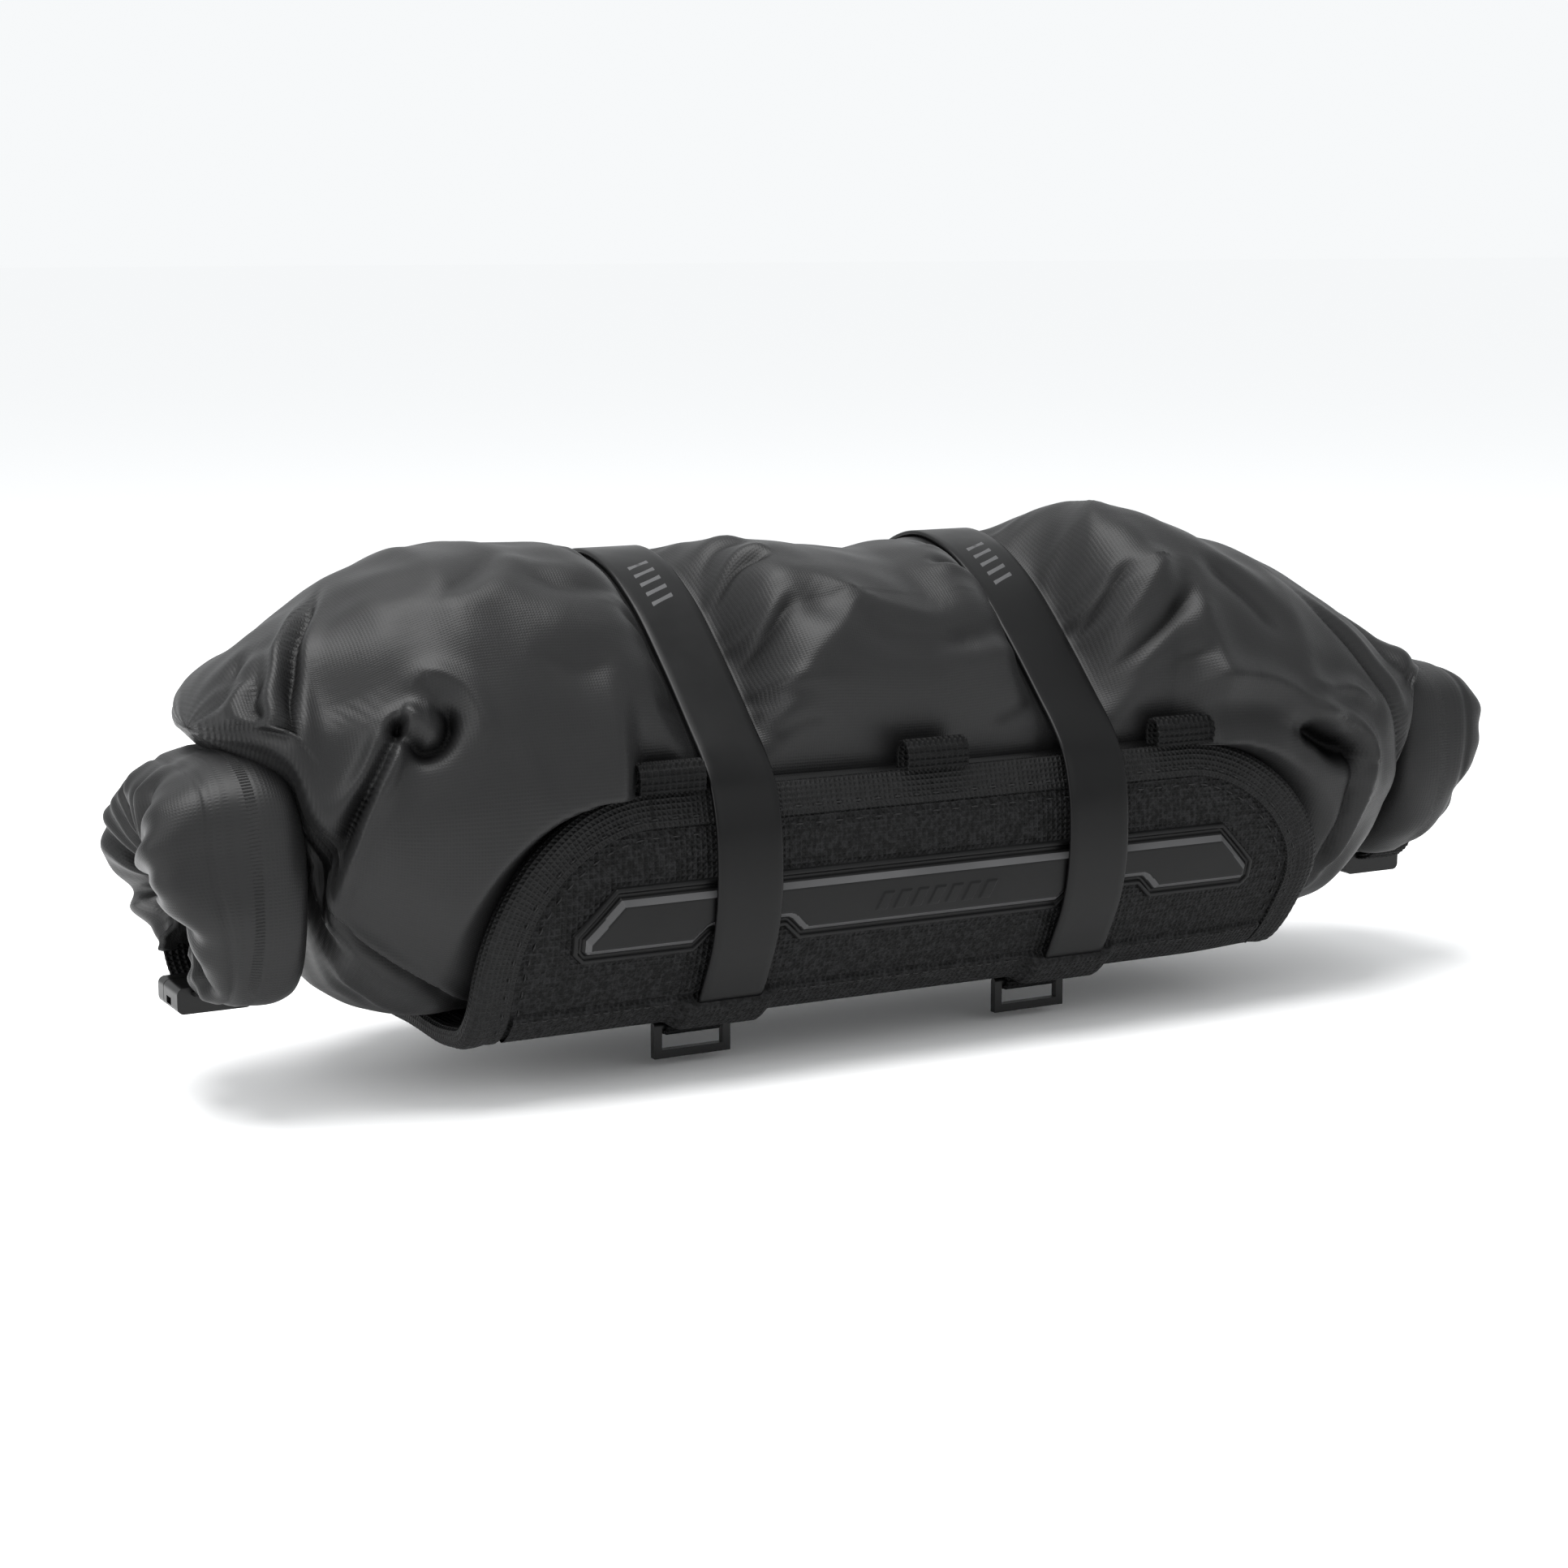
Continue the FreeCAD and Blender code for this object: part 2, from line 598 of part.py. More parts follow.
def bar_strap(side, x):
    """Webbing round the bar: two legs from the back panel, joined by a half turn."""
    radius, y_bar, z_bar = dim("bar_radius"), dim("bar_ahead"), dim("bar_above")
    outer = Part.makeCylinder(radius + thick, width, V(x - width / 2, y_bar, z_bar), V(1, 0, 0))
    face = dim("mount_face")
    legs = Part.makeBox(
        width, y_bar - face, 2 * (radius + thick), V(x - width / 2, face, z_bar - radius - thick)
    )
    bore = Part.makeCylinder(radius, width + 2, V(x - width / 2 - 1, y_bar, z_bar), V(1, 0, 0))
    room = Part.makeBox(width + 2, y_bar - 80, 2 * radius, V(x - width / 2 - 1, 80, z_bar - radius))
    feature(f"bar_strap_{side}", outer.fuse(legs).cut(room).cut(bore).removeSplitter())


def cam_buckle(side, x):
    """Under the strap: a frame with two cheeks, a pin across them, and the cam lever."""
    wide, top = dim("cam_width"), dim("bar_above") - dim("bar_radius") - thick - 0.2
    y, cheek = 100.0, 1.8
    base = box(x, y, top - 0.8, wide, 17, 1.6)
    cheeks = [box(x + e * (wide - cheek) / 2, y, top - 4.6, cheek, 13, 6.2) for e in (-1, 1)]
    pivot_z = top - 5.0
    pin_hole = Part.makeCylinder(1.25, wide + 4, V(x - wide / 2 - 2, y, pivot_z), V(1, 0, 0))
    feature(f"cam_frame_{side}", base.fuse(cheeks).cut(pin_hole).removeSplitter())
    pin = Part.makeCylinder(1.2, wide, V(x - wide / 2, y, pivot_z), V(1, 0, 0))
    feature(f"cam_pin_{side}", pin)
    lever_wide = wide - 2 * cheek - 0.8
    hub = Part.makeCylinder(2.9, lever_wide, V(x - lever_wide / 2, y, pivot_z), V(1, 0, 0))
    blade = box(x, y + dim("lever_length") / 2, pivot_z - 1.6, lever_wide, dim("lever_length"), 2.2)
    tip = [e for e in blade.Edges if e.BoundBox.ZLength > 2 and e.BoundBox.YMin > y + 10]
    blade = blade.makeFillet(5.0, tip)
    bore = Part.makeCylinder(1.26, lever_wide + 2, V(x - lever_wide / 2 - 1, y, pivot_z), V(1, 0, 0))
    feature(f"cam_lever_{side}", hub.fuse(blade).cut(bore).removeSplitter())


def build():
    cradle()
    edge_binding()
    bottom_strip()
    front_plate()
    webbing_loops()
    cinch_straps()
    feature("strap_rivets", rivets())
    for side, x in strap_xs.items():
        ring_tab(side, x)
        strap_ring(side, x)
    dry_bag()
    roll_closure("left", -1)
    roll_closure("right", 1)
    mount_panel()
    for side, sign in (("left", -1), ("right", 1)):
        x = sign * dim("bar_strap_x")
        bar_pad(side, x)
        bar_strap(side, x)
        cam_buckle(side, x)


def write():
    """Checks every object, then writes each sub-part's STEP file."""
    doc.recompute()
    failed = [o.Name for o in doc.Objects if "Invalid" in o.State or "Error" in o.State]
    for piece in PIECES:
        if piece.Shape.isNull() or not piece.Shape.isValid():
            failed.append(piece.Label)
    if failed:
        sys.exit(f"these objects failed: {failed}")
    os.makedirs("parts", exist_ok=True)
    for old in os.listdir("parts"):
        os.remove(os.path.join("parts", old))
    for piece in PIECES:
        piece.Shape.exportStep(f"parts/{piece.Label}.step")
        box_ = piece.Shape.BoundBox
        print(
            f"{piece.Label:26s} solids {len(piece.Shape.Solids)} volume {piece.Shape.Volume:10.0f}"
            f" x {box_.XMin:7.1f} {box_.XMax:7.1f} y {box_.YMin:7.1f} {box_.YMax:7.1f}"
            f" z {box_.ZMin:7.1f} {box_.ZMax:7.1f}"
        )


build()
write()
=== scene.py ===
"""The handlebar roll bag's look: fabric, rolls, harness, straps and buckles over the CAD frame."""
import math

import bmesh
import bpy
import numpy as np
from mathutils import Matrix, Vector


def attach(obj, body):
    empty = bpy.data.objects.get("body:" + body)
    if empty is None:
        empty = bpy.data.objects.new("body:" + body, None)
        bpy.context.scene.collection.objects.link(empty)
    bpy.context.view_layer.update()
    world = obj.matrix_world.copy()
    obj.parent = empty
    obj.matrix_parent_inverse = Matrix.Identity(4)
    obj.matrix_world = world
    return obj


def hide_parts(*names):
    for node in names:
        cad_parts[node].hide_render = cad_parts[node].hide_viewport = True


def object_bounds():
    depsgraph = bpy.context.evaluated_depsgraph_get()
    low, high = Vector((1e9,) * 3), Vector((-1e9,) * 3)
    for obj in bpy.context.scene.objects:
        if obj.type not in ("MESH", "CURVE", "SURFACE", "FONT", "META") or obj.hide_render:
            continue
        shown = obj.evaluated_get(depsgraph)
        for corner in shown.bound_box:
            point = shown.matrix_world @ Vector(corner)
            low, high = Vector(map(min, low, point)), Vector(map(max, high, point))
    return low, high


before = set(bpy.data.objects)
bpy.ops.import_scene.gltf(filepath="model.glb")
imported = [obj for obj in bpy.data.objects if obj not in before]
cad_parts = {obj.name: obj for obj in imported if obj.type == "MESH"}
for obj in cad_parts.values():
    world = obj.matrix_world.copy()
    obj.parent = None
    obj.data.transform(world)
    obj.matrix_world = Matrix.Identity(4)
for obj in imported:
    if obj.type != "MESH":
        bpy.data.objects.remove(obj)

CAD_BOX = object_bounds()
MM = 0.001
BAR_AHEAD, BAR_ABOVE = 118.0, 12.0
TO_ROW = np.array([0.0, -BAR_AHEAD, -BAR_ABOVE])
ROOT = "bag_and_harness"
SIDES = ("left", "right")
BAG_END = 251.0

STRAP_X = {"left": -75.5, "right": 65.5}
WEB, STRAP_THICK = 25.0, 2.0
PANEL_HALF, PANEL_TOP, PANEL_CORNER = 170.0, 7.0, 62.0
BACK_HALF, BACK_TOP = 118.0, 38.0
SHEET = 5.0

# Outer profile of the cradle, (y, z) in mm about the bag's axis, front edge to back edge.
CRADLE = [
    (-62.5, 7.0), (-66.5, -4.0), (-68.0, -18.0), (-67.5, -32.0), (-65.0, -45.0),
    (-60.5, -57.0), (-55.5, -67.0), (-47.0, -75.5), (-34.0, -78.5), (0.0, -79.0),
    (40.0, -78.0), (62.0, -71.0), (76.0, -56.0), (81.5, -35.0), (82.0, -10.0),
    (82.0, 14.0), (82.0, 38.0),
]
# Inner face of a cinch strap, from under the cradle to the back panel.
STRAP = [
    (-36.0, -79.2), (-47.5, -76.4), (-56.8, -67.7), (-62.8, -57.6), (-68.6, -45.6),
    (-71.9, -32.0), (-72.5, -18.0), (-71.0, -3.8), (-66.6, 8.2), (-60.0, 16.2),
    (-51.0, 24.5), (-30.0, 43.5), (-5.0, 63.0), (18.0, 74.0), (40.0, 77.0),
    (60.0, 71.0), (77.0, 56.0), (84.4, 38.0), (84.0, 29.0), (82.8, 19.0), (82.45, 12.0),
    (82.4, 6.0), (82.4, 0.0),
]


# ---------------------------------------------------------------- numbers and curves

def spline(points, count):
    """A smooth curve through the points, sampled evenly along its length."""
    p = np.array(points, float)
    gaps = np.r_[0, np.cumsum(np.linalg.norm(np.diff(p, axis=0), axis=1))]
    slope = np.gradient(p, gaps, axis=0)
    t = np.linspace(0, gaps[-1], count * 4)
    i = np.clip(np.searchsorted(gaps, t, side="right") - 1, 0, len(gaps) - 2)
    span = gaps[i + 1] - gaps[i]
    f = ((t - gaps[i]) / span)[:, None]
    span = span[:, None]
    fine = (
        (2 * f**3 - 3 * f**2 + 1) * p[i] + (f**3 - 2 * f**2 + f) * span * slope[i]
        + (3 * f**2 - 2 * f**3) * p[i + 1] + (f**3 - f**2) * span * slope[i + 1]
    )
    run = np.r_[0, np.cumsum(np.linalg.norm(np.diff(fine, axis=0), axis=1))]
    even = np.linspace(0, run[-1], count)
    return np.stack([np.interp(even, run, fine[:, k]) for k in range(p.shape[1])], axis=1)


def run_length(line):
    return np.r_[0, np.cumsum(np.linalg.norm(np.diff(line, axis=0), axis=1))]


def place_of(line, run, y, z):
    """How far along a (y, z) line its nearest point to (y, z) lies."""
    return run[np.argmin(np.hypot(line[:, 0] - y, line[:, 1] - z))]


def smooth_step(a, b, x):
    f = np.clip((x - a) / (b - a), 0, 1)
    return f * f * (3 - 2 * f)


def bell(x, centre, spread):
    return np.exp(-(((x - centre) / spread) ** 2))


def waves(a, b, seed, count, low, high):
    """Smooth seeded noise over two coordinates in mm, about -1 to 1."""
    rng = np.random.default_rng(seed)
    total = np.zeros(np.broadcast(a, b).shape)
    for _ in range(count):
        angle, phase = rng.uniform(0, math.tau, 2)
        size = rng.uniform(low, high)
        k = math.tau / size
        total += np.sin(k * (a * math.cos(angle) + b * math.sin(angle)) + phase)
    return total / math.sqrt(count)


# ---------------------------------------------------------------- mesh making

def make_object(name, verts_mm, faces, uv=None, body=ROOT, slot=None, mat=None):
    """A piece from millimetre vertices about the bag's axis; uv is one pair a vertex, in mm."""
    mesh = bpy.data.meshes.new(name)
    co = (np.asarray(verts_mm, float).reshape(-1, 3) + TO_ROW) * MM
    mesh.from_pydata(co.tolist(), [], [list(map(int, f)) for f in faces])
    if uv is not None:
        layer = mesh.uv_layers.new(name="lay")
        index = np.zeros(len(mesh.loops), np.int32)
        mesh.loops.foreach_get("vertex_index", index)
        layer.data.foreach_set("uv", (np.asarray(uv, float).reshape(-1, 2)[index] * MM).ravel())
    mesh.polygons.foreach_set("use_smooth", [True] * len(mesh.polygons))
    mesh.update()
    obj = bpy.data.objects.new(name, mesh)
    bpy.context.scene.collection.objects.link(obj)
    if mat:
        mesh.materials.append(mat)
    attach(obj, body)
    return obj


def grid_faces(rows, cols, wrap_rows=False, wrap_cols=False, start=0, flip=False):
    """Quads of a rows by cols grid of vertices."""
    r = np.arange(rows if wrap_rows else rows - 1)
    c = np.arange(cols if wrap_cols else cols - 1)
    rr, cc = np.meshgrid(r, c, indexing="ij")
    r2, c2 = (rr + 1) % rows, (cc + 1) % cols
    quads = np.stack([rr * cols + cc, rr * cols + c2, r2 * cols + c2, r2 * cols + cc], axis=-1)
    quads = quads.reshape(-1, 4) + start
    return quads[:, ::-1] if flip else quads


def swept(name, path, normals, across, half_wide, thick, wave=None, **kw):
    """A band with rounded edges along a path; across is the width's direction."""
    side = 5
    section = []
    r = thick / 2
    for i in range(side + 1):
        a = math.pi * (-0.5 + i / side)
        section.append((half_wide - r + r * math.cos(a), r * math.sin(a)))
    for i in range(9):
        section.append(((half_wide - r) * (1 - 2 * (i + 1) / 10), r))
    for i in range(side + 1):
        a = math.pi * (0.5 + i / side)
        section.append((-(half_wide - r) + r * math.cos(a), r * math.sin(a)))
    for i in range(9):
        section.append(((half_wide - r) * (-1 + 2 * (i + 1) / 10), -r))
    sec = np.array(section)
    path, normals = np.asarray(path), np.asarray(normals)
    across = np.asarray(across, float)
    lift = np.zeros((len(path), len(sec))) if wave is None else wave(path, sec)
    verts = (
        path[:, None] + across * sec[None, :, :1]
        + normals[:, None] * (sec[None, :, 1:] + lift[..., None])
    )
    rows, cols = verts.shape[:2]
    faces = grid_faces(rows, cols, wrap_cols=True).tolist()
    faces.append(list(range(cols)))
    faces.append([(rows - 1) * cols + i for i in range(cols)][::-1])
    length = run_length(path)
    uv = np.stack(np.broadcast_arrays(sec[None, :, 0], length[:, None]), axis=-1)
    obj = make_object(name, verts, faces, uv, **kw)
    fix_normals(obj)
    return obj


def fix_normals(obj):
    bm = bmesh.new()
    bm.from_mesh(obj.data)
    bmesh.ops.recalc_face_normals(bm, faces=bm.faces)
    bm.to_mesh(obj.data)
    bm.free()


def profile_at(line, x):
    """A (y, z) line as points at x, with the normals on one side of it."""
    pts = np.column_stack([np.full(len(line), x), line])
    along = np.gradient(line, axis=0)
    along /= np.linalg.norm(along, axis=1)[:, None]
    normal = np.column_stack([np.zeros(len(line)), along[:, 1], -along[:, 0]])
    return pts, normal


def outward(line, front_row=10):
    """The line's normals turned away from the bag, judged at a row on the front."""
    _, normal = profile_at(line, 0)
    return -normal if normal[front_row][1] > 0 else normal


# ---------------------------------------------------------------- materials

def new_material(name):
    mat = bpy.data.materials.new(name)
    mat.use_nodes = True
    return mat, mat.node_tree, mat.node_tree.nodes["Principled BSDF"]


def wave_node(tree, vector, scale, direction, name):
    wave = tree.nodes.new("ShaderNodeTexWave")
    wave.name = name
    wave.bands_direction = direction
    wave.inputs["Scale"].default_value = scale
    wave.inputs["Distortion"].default_value = 0.6
    wave.inputs["Detail"].default_value = 1.0
    wave.inputs["Detail Scale"].default_value = 2.0
    tree.links.new(vector, wave.inputs["Vector"])
    return wave


def mix(tree, a, b, factor, blend="MIX"):
    node = tree.nodes.new("ShaderNodeMix")
    node.data_type = "RGBA"
    node.blend_type = blend
    for socket, value in ((node.inputs[6], a), (node.inputs[7], b), (node.inputs[0], factor)):
        if hasattr(value, "links"):
            tree.links.new(value, socket)
        else:
            socket.default_value = value
    return node.outputs[2]


def ramp(tree, source, stops):
    node = tree.nodes.new("ShaderNodeValToRGB")
    elements = node.color_ramp.elements
    while len(elements) < len(stops):
        elements.new(0.5)
    for element, (place, value) in zip(elements, stops):
        element.position = place
        element.color = (value, value, value, 1) if isinstance(value, float) else (*value, 1)
    tree.links.new(source, node.inputs[0])
    return node.outputs[0]


def noise(tree, vector, scale, detail, rough):
    node = tree.nodes.new("ShaderNodeTexNoise")
    node.inputs["Scale"].default_value = scale
    node.inputs["Detail"].default_value = detail
    node.inputs["Roughness"].default_value = rough
    tree.links.new(vector, node.inputs["Vector"])
    return node.outputs["Fac"]


def bump(tree, height, distance, strength, under=None):
    node = tree.nodes.new("ShaderNodeBump")
    node.inputs["Distance"].default_value = distance
    node.inputs["Strength"].default_value = strength
    tree.links.new(height, node.inputs["Height"])
    if under is not None:
        tree.links.new(under, node.inputs["Normal"])
    return node.outputs["Normal"]


def fabric(
    name, dark, light, pitch, rough, weave_depth, speckle=0.0, object_space=False, specular=0.25
):
    """Woven cloth: warp and weft ridges, thread colour variation, soft wear, and painted shade that
    darkens colour and shine in creases.
    """
    mat, tree, bsdf = new_material(name)
    place = tree.nodes.new("ShaderNodeTexCoord")
    vector = place.outputs["Object" if object_space else "UV"]
    bands = 1000.0 * math.tau / (20.0 * pitch)
    warp = wave_node(tree, vector, bands, "X", "warp")
    weft = wave_node(tree, vector, bands, "Y", "weft")
    cross = tree.nodes.new("ShaderNodeMath")
    cross.operation = "MAXIMUM"
    tree.links.new(warp.outputs["Fac"], cross.inputs[0])
    tree.links.new(weft.outputs["Fac"], cross.inputs[1])
    broad = noise(tree, place.outputs["Object"], 14.0, 4.0, 0.6)
    fine = noise(tree, place.outputs["Object"], 480.0, 2.0, 0.7)
    patches = ramp(tree, broad, [(0.3, 0.0), (0.7, 1.0)])
    colour = mix(tree, (*dark, 1), (*light, 1), patches)
    weave_tone = ramp(tree, cross.outputs[0], [(0.0, 0.82), (1.0, 1.0)])
    colour = mix(tree, colour, weave_tone, 1.0, "MULTIPLY")
    if speckle:
        dots = ramp(tree, fine, [(0.42, 1.0 - speckle), (0.62, 1.0 + speckle * 4.0)])
        colour = mix(tree, colour, dots, 1.0, "MULTIPLY")
    # Painted shade: colour and shine are darkened by how deep a place lies in a crease.
    crease = tree.nodes.new("ShaderNodeAttribute")
    crease.attribute_name = "crease"
    painted_crease_shade = ramp(tree, crease.outputs["Fac"], [(0.0, 1.0), (1.0, 0.18)])
    colour = mix(tree, colour, painted_crease_shade, 1.0, "MULTIPLY")
    shine_with_painted_shade = tree.nodes.new("ShaderNodeMath")
    shine_with_painted_shade.operation = "MULTIPLY"
    shine_with_painted_shade.inputs[1].default_value = specular
    tree.links.new(painted_crease_shade, shine_with_painted_shade.inputs[0])
    tree.links.new(shine_with_painted_shade.outputs[0], bsdf.inputs["Specular IOR Level"])
    tree.links.new(colour, bsdf.inputs["Base Color"])
    rough_map = ramp(tree, broad, [(0.25, rough - 0.05), (0.75, rough + 0.06)])
    tree.links.new(rough_map, bsdf.inputs["Roughness"])
    under = bump(tree, fine, 0.0002 + 0.0006 * speckle, 0.25 + 0.3 * speckle)
    tree.links.new(bump(tree, cross.outputs[0], weave_depth, 0.8, under), bsdf.inputs["Normal"])
    return mat


def moulded(name, colour, rough, grain=600.0, depth=0.00006, specular=0.5):
    """Moulded plastic or rubber: fine grain, faint mottling and rubbed patches."""
    mat, tree, bsdf = new_material(name)
    place = tree.nodes.new("ShaderNodeTexCoord").outputs["Object"]
    broad = noise(tree, place, 35.0, 5.0, 0.6)
    fine = noise(tree, place, grain, 3.0, 0.6)
    lighter = tuple(min(1.0, c * 1.3) for c in colour)
    patches = ramp(tree, broad, [(0.35, 0.0), (0.75, 1.0)])
    base = mix(tree, (*colour, 1), (*lighter, 1), patches)
    tree.links.new(base, bsdf.inputs["Base Color"])
    rubbed = ramp(tree, broad, [(0.3, rough - 0.05), (0.7, rough + 0.07)])
    tree.links.new(rubbed, bsdf.inputs["Roughness"])
    bsdf.inputs["Specular IOR Level"].default_value = specular
    tree.links.new(bump(tree, fine, depth, 0.5), bsdf.inputs["Normal"])
    return mat


def metal(name, colour, rough):
    """Dark metal with fine scratches."""
    mat, tree, bsdf = new_material(name)
    place = tree.nodes.new("ShaderNodeTexCoord").outputs["Object"]
    scratch = noise(tree, place, 420.0, 4.0, 0.7)
    darker = tuple(c * 0.75 for c in colour)
    tree.links.new(mix(tree, (*darker, 1), (*colour, 1), scratch), bsdf.inputs["Base Color"])
    worn = ramp(tree, scratch, [(0.3, rough - 0.08), (0.7, rough + 0.1)])
    tree.links.new(worn, bsdf.inputs["Roughness"])
    bsdf.inputs["Metallic"].default_value = 1.0
    tree.links.new(bump(tree, scratch, 0.00003, 0.5), bsdf.inputs["Normal"])
    return mat


BAG = fabric(
    "coated_ripstop", (0.0072, 0.0072, 0.0074), (0.0102, 0.0102, 0.0104), 1.0, 0.44, 0.00006,
    specular=0.22,
)
HARNESS = fabric(
    "coarse_weave", (0.0014, 0.0014, 0.0015), (0.0024, 0.0024, 0.0025), 2.0, 0.65, 0.0008,
    speckle=0.9, specular=0.15,
)
LINER = fabric(
    "liner_weave", (0.005, 0.005, 0.0052), (0.007, 0.007, 0.0072), 0.6, 0.7, 0.00008,
    specular=0.15,
)
BINDING = fabric(
    "binding_twill", (0.0016, 0.0016, 0.0017), (0.0028, 0.0028, 0.0029), 1.9, 0.6, 0.0008,
    speckle=0.3, specular=0.2,
)
WEBBING = fabric(
    "ribbed_webbing", (0.001, 0.001, 0.0011), (0.002, 0.002, 0.0021), 2.2, 0.6, 0.0009,
    speckle=0.3, specular=0.13,
)
THREAD = fabric(
    "stitch_thread", (0.005, 0.005, 0.0052), (0.01, 0.01, 0.0103), 0.3, 0.6, 0.0001,
    object_space=True, specular=0.3,
)
STRAP_MAT = moulded("smooth_strap", (0.0012, 0.0012, 0.0013), 0.34, 900.0, 0.00002, 0.17)
PLATE_MAT = moulded("moulded_plate", (0.0016, 0.0016, 0.0017), 0.42, 700.0, 0.00004, 0.17)
# A lighter copy of the plate's material for its chamfer: a painted highlight.
EDGE_HIGHLIGHT_MAT = moulded("moulded_edge_painted_highlight", (0.04, 0.04, 0.041), 0.4, 700.0, 0.00004, 0.3)
BUCKLE_MAT = moulded("buckle_plastic", (0.0026, 0.0026, 0.0027), 0.36, 500.0, 0.00004, 0.25)
PAD_MAT = moulded("pad_rubber", (0.004, 0.004, 0.0042), 0.7, 350.0, 0.0001, 0.2)
PRINT_MAT = moulded("pale_print", (0.05, 0.05, 0.052), 0.5, 900.0, 0.00002, 0.3)
RIVET_MAT = metal("dark_rivet", (0.16, 0.16, 0.165), 0.38)

# ---------------------------------------------------------------- the dry bag

def back_half_width(z):
    """The cradle's half width at a height up its back, which narrows towards the top."""
    rise = np.clip((z + 62) / 66.0, 0, 1)
    return PANEL_HALF - (PANEL_HALF - BACK_HALF) * rise


def half_width(line):
    """The cradle's half width at each point of its profile, with rounded top corners."""
    out = []
    for y, z in line:
        if y < 0:
            drop = PANEL_TOP - z
            inset = max(0.0, PANEL_CORNER - drop)
            out.append(PANEL_HALF - PANEL_CORNER + math.sqrt(max(0.0, PANEL_CORNER**2 - inset**2)))
        else:
            out.append(back_half_width(z))
    return np.array(out)


TOP_LINE = [
    (-251, 33), (-248, 39), (-240, 46), (-222, 58), (-207, 68), (-193, 77), (-169, 87.5),
    (-145, 89), (-121, 87), (-100, 85), (-76, 83), (-56, 87), (-28, 84), (10, 79), (40, 82),
    (66, 83), (84, 90), (106, 91), (125, 87.5), (140, 83), (165, 75), (185, 65), (202, 55),
    (227, 38), (244, 27), (251, 18),
]
FRONT_LINE = [
    (-251, 30), (-247, 38), (-236, 46), (-222, 54), (-200, 66), (-170, 73), (-130, 74),
    (-76, 69), (-5, 73), (66, 69), (125, 74), (165, 73), (200, 66), (222, 56), (236, 46),
    (247, 38), (251, 30),
]
BACK_LINE = [
    (-251, 48), (-236, 58), (-222, 64), (-197, 74), (-165, 79), (-76, 76), (0, 78), (66, 76),
    (165, 79), (197, 74), (222, 64), (236, 58), (251, 48),
]
BOTTOM_LINE = [
    (-251, -24), (-240, -18), (-226, -8), (-219, 26), (-215, 48), (-208, 61), (-195, 69),
    (-175, 74), (175, 74), (195, 69), (208, 58), (215, 42), (219, 20), (226, -8), (240, -16),
    (251, -20),
]
BAG_COLS, BAG_ROWS = 621, 400
# The cloth run: every fourth vertex, frames, furthest move in mm, share of slack, and pressure.
RUN_STEP, RUN_FRAMES, RUN_CAP, RUN_SLACK, RUN_PRESSURE = 4, 16, 2.4, 0.006, 2.0
HOLD_SHARES = (0.25, 0.5, 0.75, 1.0)


ARC = 1.31  # mm round the bag to a degree


def fold(depth, width, *line, left=0.0, right=0.0, ends=(0.0, 0.0)):
    """One fold along a line of places (mm along the bag, degrees up from the front).

    A negative depth is a crease and width is half its width. left and right are the cloth's
    swells beside the line, and ends are the shares of the depth left at its two ends.
    """
    return {"line": line, "depth": depth, "width": width, "left": left, "right": right,
            "ends": ends}


